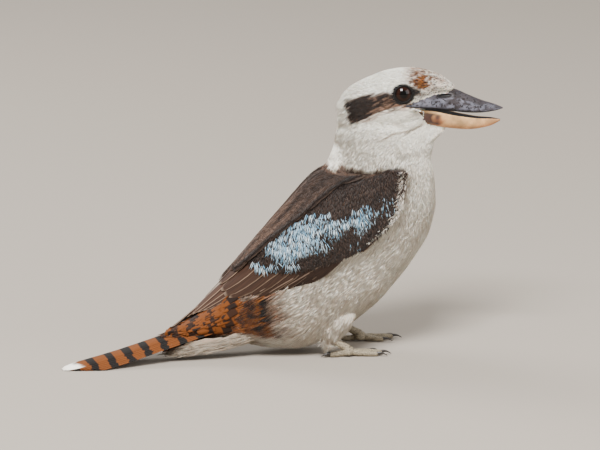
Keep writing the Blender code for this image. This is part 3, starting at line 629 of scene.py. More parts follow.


# %% [markdown]
# ## Markings
#
# The skin and the coat carry the same markings, so that no pale gap shows between tufts.
# They are drawn by rule, not by a picture: a band through the eye that is almost black
# behind it, a rufous patch and dark specks on the forehead, a brown mantle that ends in a
# level line at the neck, and a barred rufous rump. Each place gets three numbers: how dark,
# how rufous and how grey it is. Painted shade also goes into the grey and the dark:
# along the cheek's fold, over the underside and towards the vent.

# %% Markings by place
EYE = np.array([97.6, 17.8, 211.9])
BAND = np.array([  # x, middle z and half height of the band through the eye
    (51.8, 199.0, 3.5),
    (54.0, 198.0, 7.0),
    (57.0, 197.3, 9.0),
    (64.0, 199.4, 10.0),
    (73.5, 203.0, 8.7),
    (83.0, 206.0, 7.2),
    (92.8, 206.0, 4.2),
    (98.0, 203.6, 2.2),
    (104.0, 202.4, 1.4),
    (108.0, 202.0, 0.6),
])
# Shade is painted along the cheek's fold below: grey, and a little dark, on its line.
FOLD_SHADE_LINE = [(115.3, 184.0), (102.7, 181.3), (89.2, 180.2), (78.5, 174.9)]  # x, z of the cheek's fold
COLLAR_Z, MANTLE_FRONT = 151.5, 95.0  # where the brown of the back and shoulder ends
UNDER_TAIL = [  # x, z of the line under which the rump turns pale
    (-110.0, 9.0), (-95.0, 9.5), (-80.0, 13.0), (-59.0, 18.0), (-40.0, 21.0), (-22.0, 19.0), (-4.0, 16.0),
]


def waves(points, size, seed):
    """Smooth random hills about size millimetres across, mostly between -1 and 1."""
    draw = np.random.default_rng(seed)
    ways = unit(draw.normal(size=(12, 3))) * draw.uniform(0.7, 1.5, (12, 1)) * math.pi / size
    return np.sin(points @ ways.T + draw.uniform(0, 2 * math.pi, 12)).sum(1) / 2.6


def soft(value, edge):
    """0 outside, 1 inside, with a soft edge."""
    return np.clip(value / edge * 0.5 + 0.5, 0, 1)


def markings(points):
    """How dark, how rufous and how grey the plumage is at points, painted shade included."""
    head = straightened(points)
    x, y, z = head.T
    side = np.abs(y)
    fine, broad = waves(points, 1.8, 3), waves(points, 6.0, 4)
    on_head = soft(z - 182 + (x - 80) * 0.1, 3)
    # The band through the eye, with its brown front, its buff edge and its frayed rear.
    middle = np.interp(x, BAND[:, 0], BAND[:, 1])
    half = np.interp(x, BAND[:, 0], BAND[:, 2], left=0, right=0)
    lie = abreast(x * 0.12, y * 0.3, z - 0.5 * x)
    strands = waves(lie, 1.3, 5)
    band = soft(half - np.abs(z - middle) + strands * 0.9, 1.2) * soft(side - 9, 2) * on_head
    band *= soft(x - 52.5 + broad + strands, 1.2)
    rear = soft(75.5 - 0.06 * (z - 203) ** 2 + broad * 1.5 + strands * 3.0 - x, 2.5)
    brow = soft(z - 208.5 - 0.1 * (x - 80) + fine * 0.6, 1.2) * soft(x - 69, 3)
    brown = np.clip(0.84 + 0.28 * strands - 0.14 * broad, 0.3, 0.97)
    dark = band * np.maximum(rear * 0.97, np.maximum(brown, brow * 0.93))
    rufous = band * 0.85
    buff = soft(1.6 - np.abs(z - middle + half + 0.6 + broad * 0.6), 1.2) * soft(side - 12, 3)
    rufous = np.maximum(rufous, buff * soft(x - 60, 4) * soft(104 - x, 3) * on_head * 0.5)
    # The rufous patch of the forehead and its paler surroundings.
    patch = 6.2 - np.hypot((x - 113.0) * 0.76, (z - 220.2) * 0.85) + fine * 1.0 + strands * 1.2
    patch = soft(patch, 3.0) * soft(side - 6, 3)
    brow_tint = soft(11 - np.hypot((x - 117) * 0.6, z - 220) + fine, 4) * (0.42 + 0.14 * strands)
    crown_tint = soft(5.5 - np.hypot((x - 109) * 0.7, z - 227) + fine, 3) * 0.35
    rufous = np.maximum(rufous, np.maximum(patch, (brow_tint + crown_tint) * on_head))
    dark = np.maximum(dark, patch * np.clip(0.16 + 0.34 * strands, 0, 0.7))
    rufous = np.maximum(rufous, soft(x - 113, 4) * soft(z - 199, 3) * (0.14 + 0.1 * soft(z - 212, 4)))
    rufous = np.maximum(rufous, soft(60 - x, 10) * soft(z - 186, 6) * (0.08 + 0.05 * strands))
    # Dark feathers round the eye and at its corners, and painted shade along the fold of the cheek.
    for eye_side in (LEFT, RIGHT):
        offset = head - EYE * (1, eye_side, 1)
        ring = soft(1 - np.hypot(offset[:, 0] / 9.9, offset[:, 2] / 8.3), 0.06) * (y * eye_side > 8)
        dark = np.maximum(dark, ring)
    corner = soft(3.0 - np.hypot((x - 107.4) * 0.62 + (z - 213.6) * 0.6, (z - 213.6) * 0.75), 1.4)
    dark = np.maximum(dark, corner * soft(side - 9, 2))
    rear_corner = soft(2.6 - np.hypot((x - 88.0) * 0.6, z - 210.6), 1.2) * soft(side - 9, 2)
    dark = np.maximum(dark, rear_corner * 0.95)
    fold = np.interp(x, *np.array(FOLD_SHADE_LINE[::-1]).T)
    fold = soft(0.7 - np.abs(z - fold + 0.4), 0.6) * soft(116 - x, 2) * soft(x - 76, 6) * soft(side - 6, 4)
    # The brown mantle and the barred rump.
    bx, _, bz = points.T
    lower_edge = np.interp(bx, wing_table[::-1, 3], wing_table[::-1, 4])
    collar = COLLAR_Z + broad * 0.8 + fine * 0.5
    mantle = soft(bz - lower_edge - 4, 3) * soft(collar - bz, 1.0) * soft(MANTLE_FRONT - bx, 2)
    under = np.interp(bx, *np.array(UNDER_TAIL).T)
    rump = soft(-9 + broad * 3 + strands * 1.5 + 0.15 * (35 - bz) - bx, 9)
    rump = rump * soft(bz - under, 2) * soft(lower_edge + 4 - bz, 3)
    rump = np.maximum(rump, soft(-46 - bx, 6) * soft(bz - under, 2))
    bars = soft(np.sin((bx + 0.5 * bz) * 2 * math.pi / 13 + broad * 1.2) - 0.25, 0.4)
    dark = np.maximum(dark * (1 - mantle), mantle * 0.84)
    dark = dark * (1 - rump) + rump * (0.18 + 0.7 * bars + 0.2 * soft(bx + 26, 8))
    rufous = np.maximum(rufous * (1 - rump), np.maximum(rump, mantle * 0.8))
    # The grey of the underside: partly its own faint grey-brown, partly painted shade that deepens
    # lower down and at the rear. It mottles and darkens towards the vent, partly as painted shade.
    below = soft(172 - bz, 26)
    # Painted shade along the cheek's fold goes into the grey here and into the dark below.
    grey = 0.03 + below * (0.34 + 0.05 * waves(points, 9.0, 8)) + 0.2 * soft(60 - bz, 30) + fold * 0.8
    grey = np.where(bx < -24, np.maximum(grey, 0.5), grey)
    dark = np.maximum(dark, fold * 0.22)
    vent = soft(-16 - bx, 10) * (1 - rump)
    dark = np.maximum(dark, vent * (0.30 + 0.12 * waves(points * np.array([0.3, 1, 1]), 2.0, 15)))
    grey = np.maximum(grey, vent)
    return np.clip(abreast(dark, rufous, grey), 0, 1)


# %% [markdown]
# ## Unwrap of the skin
#
# The export bakes each piece's colours through a map named OFBake. On the body that map
# unrolls the skin round its own spine, from the tail to the forehead: one direction is the
# place along the spine, the other the turn round it.

# %% Places along and around the spine
SPINE = np.array([
    (-100, 19), (-60, 28), (-30, 38), (5, 55), (35, 85), (62, 115), (78, 145), (83, 170),
    (86, 190), (98, 203), (115, 210), (140, 212),
], float)


def unwrap(points):
    """Where points lie on the unrolled skin, both numbers between 0 and 1."""
    flat = points[:, [0, 2]]
    starts, runs = SPINE[:-1], np.diff(SPINE, axis=0)
    lengths = np.linalg.norm(runs, axis=1)
    done = np.concatenate([[0], np.cumsum(lengths)])
    best = np.full(len(points), 1e9)
    along, lift = np.zeros(len(points)), np.zeros(len(points))
    for start, run, length, so_far in zip(starts, runs, lengths, done):
        share = np.clip((flat - start) @ run / length**2, 0, 1)
        offset = flat - start - share[:, None] * run
        apart = np.linalg.norm(offset, axis=1)
        closer = apart < best
        best[closer] = apart[closer]
        along[closer] = (so_far + share * length)[closer]
        lift[closer] = ((offset @ np.array([-run[1], run[0]])) / length)[closer]
    around = np.arctan2(points[:, 1] - sway(points[:, 0]), lift) / (2 * math.pi) + 0.5
    return abreast(along / done[-1] * 0.98 + 0.01, around * 0.98 + 0.01)


# %% [markdown]
# ## Where the face meets the bill and the eyes
#
# The feathers of the face end in a slanting line on the bill, and in a low rim round each
# eye. So the bill's and the eyes' sizes come before the skin is finished: the skin is drawn
# in to the horn along that line, tucked under it beyond, and levelled to the lids. Tables
# run from the corner of the mouth to the tip of the bill.

# %% Bill and eye sizes
UPPER_BILL = [  # x, ridge z, cutting edge z, half width, fullness of the section
    (99.3, 205.5, 202.3, 24.2, 2.6),
    (104.0, 207.2, 201.3, 22.4, 2.6),
    (109.0, 208.6, 200.2, 19.6, 2.5),
    (114.5, 209.8, 199.0, 16.6, 2.4),
    (120.0, 211.0, 198.0, 14.0, 2.3),
    (126.0, 210.6, 197.0, 12.0, 2.2),
    (133.0, 210.6, 195.8, 10.6, 2.1),
    (140.0, 211.2, 194.7, 9.2, 2.0),
    (150.0, 206.8, 193.2, 7.5, 1.9),
    (161.0, 202.0, 192.6, 5.4, 1.8),
    (171.0, 198.7, 193.4, 3.2, 1.8),
    (178.2, 195.6, 194.8, 0.7, 1.8),
]
LOWER_BILL = [
    (100.0, 187.5, 199.2, 11.0, 2.2),
    (105.0, 186.3, 198.2, 11.4, 2.2),
    (110.0, 185.0, 197.4, 11.8, 2.2),
    (115.0, 183.6, 196.6, 12.3, 2.2),
    (120.0, 182.2, 196.0, 11.6, 2.1),
    (126.0, 180.9, 194.6, 10.2, 2.0),
    (138.0, 179.2, 191.4, 8.2, 1.9),
    (148.5, 178.2, 189.3, 6.6, 1.8),
    (158.0, 178.7, 187.8, 5.1, 1.8),
    (168.5, 181.0, 187.1, 3.4, 1.8),
    (176.0, 184.8, 186.0, 0.8, 1.8),
]
FEATHER_LINE = np.array([  # x, z round the bare bill, seen from the side
    (98.8, 201.7), (101.5, 203.2), (108.0, 204.4), (114.9, 206.2), (123.7, 208.5), (131.0, 208.9),
    (136.4, 208.9), (139.6, 210.2), (142.0, 213.6), (150.0, 217.0), (190.0, 216.0), (190.0, 172.0),
    (140.0, 172.0), (134.4, 179.4), (128.0, 181.2), (121.0, 183.0), (116.5, 185.4), (114.6, 190.0),
    (114.8, 195.4), (108.6, 198.6), (103.0, 201.0), (98.8, 201.6),
])
FACE_START = 88.0  # x of the foremost place that the bill leaves as it is
EYE_RADIUS, EYE_ASPECT, EYE_TILT = 9.4, 8.0, 0.1
LID_OPENING = (7.1, 6.6)  # half length and half height
LID_HEIGHT = 6.7  # the lids' rim over the eye's centre
FACE_FLARE = 0.75  # how fast the face may widen behind the bill
RIM_REACH = (7.4, 13.5)  # the rim round the eye levels out between these distances


def eye_axes(side):
    """The eye's own axes, outward, forward and up, in the straight head's frame."""
    outward = unit(np.array([math.sin(math.radians(EYE_ASPECT)), side, EYE_TILT]))
    forward = unit(np.cross([0, 0, 1.0], outward) * -side)
    return outward, forward, np.cross(outward, forward) * -side


def eye_place(head, side):
    """Height over an eye's centre, and distance from its axis in shares of the opening."""
    outward, forward, up = eye_axes(side)
    offset = head - EYE * (1, side, 1)
    across = np.hypot(offset @ forward / LID_OPENING[0], offset @ up / LID_OPENING[1])
    return offset @ outward, across


def bill_room(x, z):
    """Half the width of the bill at a place seen from the side."""
    widest = np.zeros(len(x))
    for table in (UPPER_BILL, LOWER_BILL):
        rows = np.array(table)
        ridge, edge, half, full = (np.interp(x, rows[:, 0], rows[:, k]) for k in (1, 2, 3, 4))
        rise = (z - edge) / (ridge - edge)
        room = half * (1 - np.clip(rise, 0, 1) ** full) ** (1 / full)
        widest = np.maximum(widest, np.where(rise > -0.3, room, 0))
    return widest


def from_outline(here, corners):
    """How far places lie inside a closed outline, below 0 outside it, and its nearest places."""
    apart, inside = np.full(len(here), 1e9), np.zeros(len(here), bool)
    nearest = np.zeros_like(here)
    for a, b in zip(corners, np.roll(corners, -1, axis=0)):
        run = b - a
        share = np.clip((here - a) @ run / (run @ run), 0, 1)
        foot = a + share[:, None] * run
        reach = np.linalg.norm(here - foot, axis=1)
        closer = reach < apart
        apart[closer], nearest[closer] = reach[closer], foot[closer]
        if run[1] != 0:
            crosses = (a[1] > here[:, 1]) != (b[1] > here[:, 1])
            inside ^= crosses & (here[:, 0] < a[0] + (here[:, 1] - a[1]) * run[0] / run[1])
    return np.where(inside, apart, -apart), nearest


def feather_line(head):
    """Millimetres beyond the feathers' edge on the bill, and the nearest place on that edge."""
    return from_outline(head[:, [0, 2]], FEATHER_LINE)


def shape_face(points):
    """The skin drawn in to the bill along the feathers' edge, and levelled to the lids."""
    head = straightened(points)
    front = head[:, 0] > FACE_START
    x, y, z = head[front].T
    past, nearest = feather_line(head[front])
    limit = np.maximum(bill_room(*nearest.T), 3.0) + 0.3 + FACE_FLARE * np.maximum(-past, 0)
    tucked = np.maximum(bill_room(x, z) - 3.5, 0.2)
    limit = np.where(past > 0.4, tucked, limit)
    size = np.minimum(np.abs(y), limit)
    covers = (past < 0.4) & (size > 2.5)
    size = np.where(covers, np.maximum(size, bill_room(x, z) + 0.5), size)
    loose = (past > 0.4) & (bill_room(x, z) < 1.5)
    x, z = np.where(loose, nearest[:, 0], x), np.where(loose, nearest[:, 1], z)
    head[front] = abreast(x, np.copysign(size, y), z)
    for side in (LEFT, RIGHT):
        outward = eye_axes(side)[0]
        height, across = eye_place(head, side)
        reach = across * LID_OPENING[0]
        level = np.clip((RIM_REACH[1] - reach) / (RIM_REACH[1] - RIM_REACH[0]), 0, 1)
        level = level * level * (3 - 2 * level) * (height > -4) * (head[:, 1] * side > 6)
        wanted = np.where(reach < RIM_REACH[0] - 0.6, LID_HEIGHT - 3.0, LID_HEIGHT)
        head += outward * (level * (wanted - height))[:, None]
    return turned(head)


# %% [markdown]
# The wings cover part of the skin. A search tree over each wing's outline tells, for any
# point, where under the wing it lies, so that no coat is grown where nobody could see it.

# %% Finding places under the wings
def search_tree(points):
    """A tree that quickly finds the nearest of the points."""
    tree = KDTree(len(points))
    for k, point in enumerate(points):
        tree.insert(point, k)
    tree.balance()
    return tree


grid_s, grid_d = np.meshgrid(np.linspace(-0.08, 1.0, 70), np.linspace(0.0, 1.0, 44), indexing="ij")
wing_places = abreast(grid_s.ravel(), grid_d.ravel())
wing_trees = {side: search_tree(wing_surface(side, *wing_places.T)) for side in (LEFT, RIGHT)}


def wing_place(points):
    """The nearest place on the wings' outlines: station, share down, distance."""
    found = np.zeros((len(points), 3))
    for k, point in enumerate(points):
        _, index, apart = wing_trees[LEFT if point[1] > 0 else RIGHT].find(point)
        found[k] = (*wing_places[index], apart)
    return found


def under_wing(points):
    """1 well under the folded wing, 0 outside it."""
    station, down, apart = wing_place(points).T
    reach = 16 - 13.5 * soft(0.05 - down, 0.02) * soft(points[:, 2] - 142, 4)
    return np.minimum.reduce([
        soft(station - 0.07, 0.03), soft(0.92 - down, 0.03),
        soft(0.72 - station, 0.05), soft(reach - apart, 3),
    ])


# %% Skin: inset by the coat's depth, with its map and markings
def mesh_arrays(mesh):
    """A mesh's points in millimetres and their normals."""
    points = np.empty(len(mesh.vertices) * 3, np.float32)
    mesh.vertices.foreach_get("co", points)
    normals = np.empty(len(mesh.vertices) * 3, np.float32)
    mesh.vertices.foreach_get("normal", normals)
    return points.reshape(-1, 3).astype(float) / MM, normals.reshape(-1, 3).astype(float)


def move_points(mesh, points):
    """Moves a mesh's points to places in millimetres."""
    mesh.vertices.foreach_set("co", (points * MM).astype(np.float32).ravel())
    mesh.update()


def keep_largest(mesh):
    """Drops every surface of the mesh but its largest."""
    bm = bmesh.new()
    bm.from_mesh(mesh)
    left, largest = set(bm.verts), []
    while left:
        edge, found = [left.pop()], []
        while edge:
            here = edge.pop()
            found.append(here)
            for link in here.link_edges:
                other = link.other_vert(here)
                if other in left:
                    left.remove(other)
                    edge.append(other)
        largest = max(largest, found, key=len)
    keep = set(largest)
    bmesh.ops.delete(bm, geom=[v for v in bm.verts if v not in keep], context="VERTS")
    bm.to_mesh(mesh)
    bm.free()


def mark_points(mesh, rgb, spread):
    """Stores the markings and a random number on the mesh's points."""
    colours = np.hstack([rgb, np.ones((len(rgb), 1))]).astype(np.float32)
    mesh.attributes.new("marks", "FLOAT_COLOR", "POINT").data.foreach_set("color", colours.ravel())
    mesh.attributes.new("spread", "FLOAT", "POINT").data.foreach_set("value", spread.astype(np.float32))


def store_map(mesh, places):
    """Stores a place on the OFBake map for each point of the mesh."""
    corner = np.empty(len(mesh.loops), np.int32)
    mesh.loops.foreach_get("vertex_index", corner)
    layer = mesh.uv_layers.new(name="OFBake")
    layer.data.foreach_set("uv", places[corner].astype(np.float32).ravel())


keep_largest(fused)
skin_points, _ = mesh_arrays(fused)
move_points(fused, shape_face(skin_points))
skin_points, skin_normals = mesh_arrays(fused)
hidden = under_wing(skin_points)
coat = coat_at(skin_points)
depth = coat[:, 5] * (0.62 + 0.7 * soft(skin_points[:, 2] - 186, 8)) * (1 - hidden) + 0.3 * hidden
straight = straightened(skin_points)
by_eye = np.minimum(*(eye_place(straight, side)[1] for side in (LEFT, RIGHT)))
past_feathers = feather_line(straight)[0]
depth = np.where((past_feathers > -0.5) & (skin_points[:, 2] > HEAD_BASE), 0.0, depth)
depth = np.where(by_eye < 1.1, 0.0, depth)
move_points(fused, skin_points - skin_normals * depth[:, None])
skin_points, skin_normals = mesh_arrays(fused)
mark_points(fused, markings(skin_points), 0.5 + 0.3 * waves(skin_points, 3.0, 21))
store_map(fused, unwrap(skin_points))
fused.shade_smooth()
fused.name = "skin"
skin = add_object("skin", fused)
thin, thick = np.round((depth.min(), depth.max()), 1)
print("skin:", len(skin_points), "points, coat", thin, "to", thick, "mm deep")

# %% [markdown]
# ## Soft contour feathers
#
# Contour feathers are keratin combed into hundreds of loose barbs, which scatter light so
# well that they look matt and a little silky. At this size single barbs are finer than the
# picture can show, so each tuft stands for a handful of them. The finish is rough, with a
# touch of sheen and a little light passing through, and each tuft is a shade of its own.

# %% Finish of the contour feathers
CREAM, DOVE_GREY = "#FFFAEC", "#C2AC96"
BAND_BROWN, RUFOUS = "#0D0704", "#8F4C14"


def contour_finish(name, sheen):
    """Cream to grey by the third marking, then rufous by the second and dark by the first."""
    made, tree = new_material(
        name, Roughness=0.82, Specular_IOR_Level=0.3, Sheen_Weight=sheen, Sheen_Roughness=0.5,
        Subsurface_Weight=0.12, Subsurface_Scale=0.002,
    )
    dark, rufous, grey = marks_of(tree)
    pale = mixed(tree, grey, CREAM, DOVE_GREY)
    colour = mixed(tree, dark, mixed(tree, rufous, pale, RUFOUS), BAND_BROWN)
    spread = add_node(tree, "ShaderNodeAttribute", {"attribute_name": "spread"})
    lead_colour(tree, colour, ranged(tree, spread.outputs["Fac"], 0.0, 1.0, 0.9, 1.06, "LINEAR"))
    return made, tree


coat_finish, _ = contour_finish("contour_feathers", 0.05)
skin_finish, skin_tree = contour_finish("feathered_skin", 0.0)
lead_bump(skin_tree, noise(skin_tree, None, 900.0, 3.0), 0.5, 0.0004)
skin.data.materials.append(skin_finish)

# %% [markdown]
# ## Growing the tufts
#
# Each tuft is a thin closed blade with a ridge, two sections long and drawn to a point.
# All of them are built at once with arrays: root, direction and size come from the guides
# and a seeded draw, and the blade then bends over to lie along the body.

# %% Blades as arrays
BLADE_SHARES = np.array([0.0, 0.52])
BLADE_WIDTHS = np.array([0.75, 0.92])
MAP_PATCH = 0.003  # width of each tuft's patch on the OFBake map


def fill_mesh(name, points, faces, material):
    """A mesh object from arrays of points in millimetres and faces with equal corners."""
    mesh = bpy.data.meshes.new(name)
    mesh.vertices.add(len(points))
    mesh.vertices.foreach_set("co", (points * MM).astype(np.float32).ravel())
    corners = faces.shape[1]
    mesh.loops.add(faces.size)
    mesh.loops.foreach_set("vertex_index", faces.astype(np.int32).ravel())
    mesh.polygons.add(len(faces))
    mesh.polygons.foreach_set("loop_start", np.arange(0, faces.size, corners, dtype=np.int32))
    mesh.update(calc_edges=True)
    mesh.shade_smooth()
    mesh.materials.append(material)
    return add_object(name, mesh)


def blade_faces(sections):
    """Triangles of one blade: three sides between its sections, a root cap and a point."""
    faces = [(0, 2, 1)]
    for s in range(sections - 1):
        for k in range(3):
            a, b = 3 * s + k, 3 * s + (k + 1) % 3
            faces += [(a, b, b + 3), (a, b + 3, a + 3)]
    tip, last = 3 * sections, 3 * (sections - 1)
    return np.array(faces + [(last + k, last + (k + 1) % 3, tip) for k in range(3)])


def grow(name, roots, normals, lies, lengths, widths, lifts, rgb, places, material):
    """A piece of coat: one blade for each root."""
    count, sections = len(roots), len(BLADE_SHARES)
    widths = np.broadcast_to(widths, count)
    each = 3 * sections + 1
    across = unit(np.cross(normals, lies))
    roll = chance.normal(0, 0.10, count)[:, None]
    flat = across * np.cos(roll) + normals * np.sin(roll)
    up = normals * np.cos(roll) - across * np.sin(roll)
    curl = chance.normal(0, 0.03, count)

    def centre(share):
        rise = lifts * (1 - (1 - share) ** 2)
        side = lengths * curl * share**2
        return roots + lies * (lengths * share)[:, None] + normals * rise[:, None] + across * side[:, None]

    points = np.empty((count, each, 3))
    for s, (share, full) in enumerate(zip(BLADE_SHARES, BLADE_WIDTHS)):
        middle, half = centre(np.full(count, share)), (widths * full / 2)[:, None]
        points[:, 3 * s] = middle + flat * half
        points[:, 3 * s + 1] = middle + up * half * 0.3
        points[:, 3 * s + 2] = middle - flat * half
    points[:, -1] = centre(np.ones(count))
    points[..., 2] = np.maximum(points[..., 2], FLOOR_GAP)
    faces = blade_faces(sections)[None] + (np.arange(count) * each)[:, None, None]
    piece = fill_mesh(name, points.reshape(-1, 3), faces.reshape(-1, 3), material)
    mark_points(piece.data, np.repeat(rgb, each, axis=0), np.repeat(chance.random(count), each))
    patch = np.zeros((each, 2))
    for s, share in enumerate(BLADE_SHARES):
        patch[3 * s : 3 * s + 3] = [(0, share), (0.5, share), (1, share)]
    patch[-1] = (0.5, 1.0)
    spots = places[:, None, :] + (patch[None] - 0.5) * MAP_PATCH
    store_map(piece.data, spots.reshape(-1, 2))
    return piece


def scatter(mesh, points, normals, closeness):
    """Random places on a mesh, as many for each mm2 as closeness says at its points."""
    mesh.calc_loop_triangles()
    corners = np.empty(len(mesh.loop_triangles) * 3, np.int32)
    mesh.loop_triangles.foreach_get("vertices", corners)
    corners = corners.reshape(-1, 3)
    a, b, c = (points[corners[:, k]] for k in range(3))
    area = np.linalg.norm(np.cross(b - a, c - a), axis=1) / 2
    wanted = chance.poisson(area * closeness[corners].mean(1))
    chosen = np.repeat(np.arange(len(corners)), wanted)
    shares = chance.dirichlet((1, 1, 1), len(chosen))[:, :, None]
    places = (points[corners[chosen]] * shares).sum(1)
    return places, unit((normals[corners[chosen]] * shares).sum(1))


# %% Roots of the coat
closeness = coat[:, 6] * (hidden < 0.5)
closeness *= 0.95 + 0.3 * soft(180 - skin_points[:, 2], 6) * soft(skin_points[:, 2] - 130, 12)
closeness[skin_points[:, 0] < -92] = 0
roots, root_normals = scatter(fused, skin_points, skin_normals, closeness)
straight = straightened(roots)
keep = (feather_line(straight)[0] < -0.7) | (roots[:, 2] < HEAD_BASE)
for side in (LEFT, RIGHT):
    height, across = eye_place(straight, side)
    keep &= (across > 1.13) | (height < 0)
roots, root_normals = roots[keep], root_normals[keep]
growth = coat_at(roots)
lies = growth[:, :3] + chance.normal(0, 0.045, (len(roots), 3))
lies = laid_flat(lies, root_normals)
lengths = growth[:, 3] * chance.uniform(0.75, 1.2, len(roots))
widths = growth[:, 4] * chance.uniform(0.5, 0.95, len(roots)) * (1 + 0.12 * (roots[:, 2] < 130))
on_head = straightened(roots)[:, 2] > 184
loose = 0.16 + 0.24 * soft(56 - roots[:, 2], 20) * (roots[:, 0] > -20)
lifts = growth[:, 5] * (0.25 + chance.beta(2.5, 2.5, len(roots)) * np.where(on_head, 0.28, loose)) + 0.15
lifts *= 1 - 0.6 * soft(58 - roots[:, 0], 8) * soft(182 - roots[:, 2], 6) * (roots[:, 2] > 145)
nape = soft(60 - roots[:, 0], 8) * soft(roots[:, 2] - 184, 6) * soft(221 - roots[:, 2], 6)
lifts += nape * chance.uniform(0.0, 2.6, len(roots))
ends = roots + lies * lengths[:, None]
at_collar = (markings(ends)[:, 0] > 0.5) & (roots[:, 2] > COLLAR_Z) & (roots[:, 2] < COLLAR_Z + 14)
cut = np.clip((roots[:, 2] - COLLAR_Z + 1.5) / (roots[:, 2] - ends[:, 2] + 0.01), 0.3, 1)
lengths[at_collar] *= cut[at_collar]
lifts[at_collar] *= cut[at_collar]
tuft_marks = markings(roots + lies * (lengths * 0.75)[:, None])
tuft_places = unwrap(roots)
unmarked = tuft_marks[:, 0] < 0.3
below = soft(176 - roots[:, 2], 26) * unmarked
draw = chance.random(len(roots))
tuft_marks[:, 0] += below * (draw < 0.12) * chance.uniform(0.08, 0.34, len(roots))
tuft_marks[:, 1] += unmarked * (0.3 + below) * (draw > 0.86) * chance.uniform(0.03, 0.14, len(roots))
tuft_marks[:, 2] = np.clip(tuft_marks[:, 2] + (0.3 + below) * chance.normal(0, 0.13, len(roots)), 0, 1)
print("tufts of the coat:", len(roots))

# %% [markdown]
# The forehead carries dark specks of about a millimetre, each the tip of one small feather.
# A loose grid of places is shaken, and the tufts that end near one of them turn dark.

# %% Specks of the forehead
SPECK_STEP, SPECK_SIZE = 1.9, 0.82

tips = straightened(roots + lies * (lengths * 0.85)[:, None])
cell = np.floor(tips / SPECK_STEP)
mix = np.sin(cell @ np.array([[12.9, 39.3, 7.1], [78.2, 11.1, 27.7], [37.7, 93.7, 61.3]])) * 43758.5
centre = (cell + 0.2 + 0.6 * (mix - np.floor(mix))) * SPECK_STEP
near = np.linalg.norm(tips - centre, axis=1) < SPECK_SIZE
field = soft(tips[:, 0] - 104, 3) * soft(tips[:, 2] - 206 + (tips[:, 0] - 110) * 0.1, 4)
specked = near & (chance.random(len(tips)) < field)
tuft_marks[specked, 0] = np.maximum(tuft_marks[specked, 0], 0.9)
print("dark specks:", int(specked.sum()), "tufts")

# %% Coat pieces
BLADES_A_PIECE = 19000

tuft_values = (roots, root_normals, lies, lengths, widths, lifts, tuft_marks, tuft_places)
pieces_of_coat = []
for word, chosen in (("head", on_head), ("body", ~on_head)):
    order = np.flatnonzero(chosen)
    order = order[np.argsort(tuft_places[order, 0])]
    for number, part in enumerate(np.array_split(order, math.ceil(len(order) / BLADES_A_PIECE)), 1):
        piece = grow(f"coat_{word}_{number}", *(values[part] for values in tuft_values), coat_finish)
        pieces_of_coat.append(piece)
        print(piece.name, triangles(piece), "triangles")

# %% [markdown]
# ## Wing feathers
#
# A wing feather is a thin vane of keratin barbs on a shaft. Its finish is satin rather than
# matt, because the barbs are zipped together, and it shows two things close up: the fine
# slant of the barbs and a paler worn edge. The attribute "vane" says where on its feather a
# place lies (across, along, and a number of that feather's own), and the shader draws both
# from it. Real barbs lie about 0.3 mm apart; they are drawn three times coarser so that they
# show.

# %% Finish of the wing feathers
UMBER, WARM_BROWN, WORN_EDGE = "#180E09", "#4C3224", "#9C8470"
BARB_PITCH = 0.9  # mm


def vane_coordinates(tree, length):
    """Places on a vane for its shader: across, along, own number, distance across, barbs."""
    vane = add_node(tree, "ShaderNodeAttribute", {"attribute_name": "vane"})
    split = add_node(tree, "ShaderNodeSeparateXYZ", inputs={"Vector": vane.outputs["Vector"]})
    across, along, own = split.outputs
    side = arithmetic(tree, "ABSOLUTE", across)
    slant = arithmetic(tree, "MULTIPLY_ADD", side, -0.45, along)
    barb = arithmetic(tree, "MULTIPLY", slant, length / BARB_PITCH)
    feather = arithmetic(tree, "MULTIPLY", own, 57.0)
    place = add_node(tree, "ShaderNodeCombineXYZ", inputs={"X": barb, "Y": across, "Z": feather})
    return across, along, own, side, noise(tree, place.outputs[0], 0.9, 2.0, 0.6)


wing_finish, tree = new_material(
    "zipped_flight_feathers", Roughness=0.68, Specular_IOR_Level=0.22, Sheen_Weight=0.04
)
_, along, _, side_place, barbs = vane_coordinates(tree, 16.0)
_, warm, worn = marks_of(tree)
warmth = arithmetic(tree, "MULTIPLY_ADD", barbs, 0.5, warm, clamp=True)
warmth = arithmetic(tree, "SUBTRACT", warmth, 0.25, clamp=True)
outer = arithmetic(tree, "MAXIMUM", side_place, arithmetic(tree, "POWER", along, 5.0))
rim = arithmetic(tree, "MULTIPLY", ranged(tree, outer, 0.80, 0.97), worn)
edged = mixed(tree, rim, mixed(tree, warmth, UMBER, WARM_BROWN), WORN_EDGE)
shaft = ranged(tree, side_place, 0.02, 0.1, 0.6, 1.0)
barb_shade = ranged(tree, barbs, 0.3, 0.7, 0.78, 1.2, "LINEAR")
lead_colour(tree, edged, arithmetic(tree, "MULTIPLY", shaft, barb_shade))
lead_bump(tree, barbs, 0.35, 0.0003)

# %% [markdown]
# The vanes themselves are closed and curved: arched across like a shallow gutter, with the
# shaft as a low ridge, ragged at the rim, and rounded at the tip. One function builds all
# the feathers of a tier together from their middle lines, the normals there and their half
# widths.

# %% Vanes as arrays
VANE_ACROSS = np.array([-1.0, -0.7, -0.35, 0.0, 0.35, 0.7, 1.0])
VANE_ALONG = np.array([0.0, 0.2, 0.42, 0.62, 0.77, 0.88, 0.95, 1.0])
SHAFT_RISE, VANE_THICKNESS = 0.06, 0.2


def rounded_tip(shares, root=0.5, start=0.62):
    """Width along a feather: narrow at its root, full, and round at the tip."""
    opening = root + (1 - root) * np.clip(shares / 0.45, 0, 1) ** 0.8
    past = np.clip((shares - start) / (1 - start), 0, 1)
    return opening * np.sqrt(np.clip(1 - past**2.6, 0.03, 1))


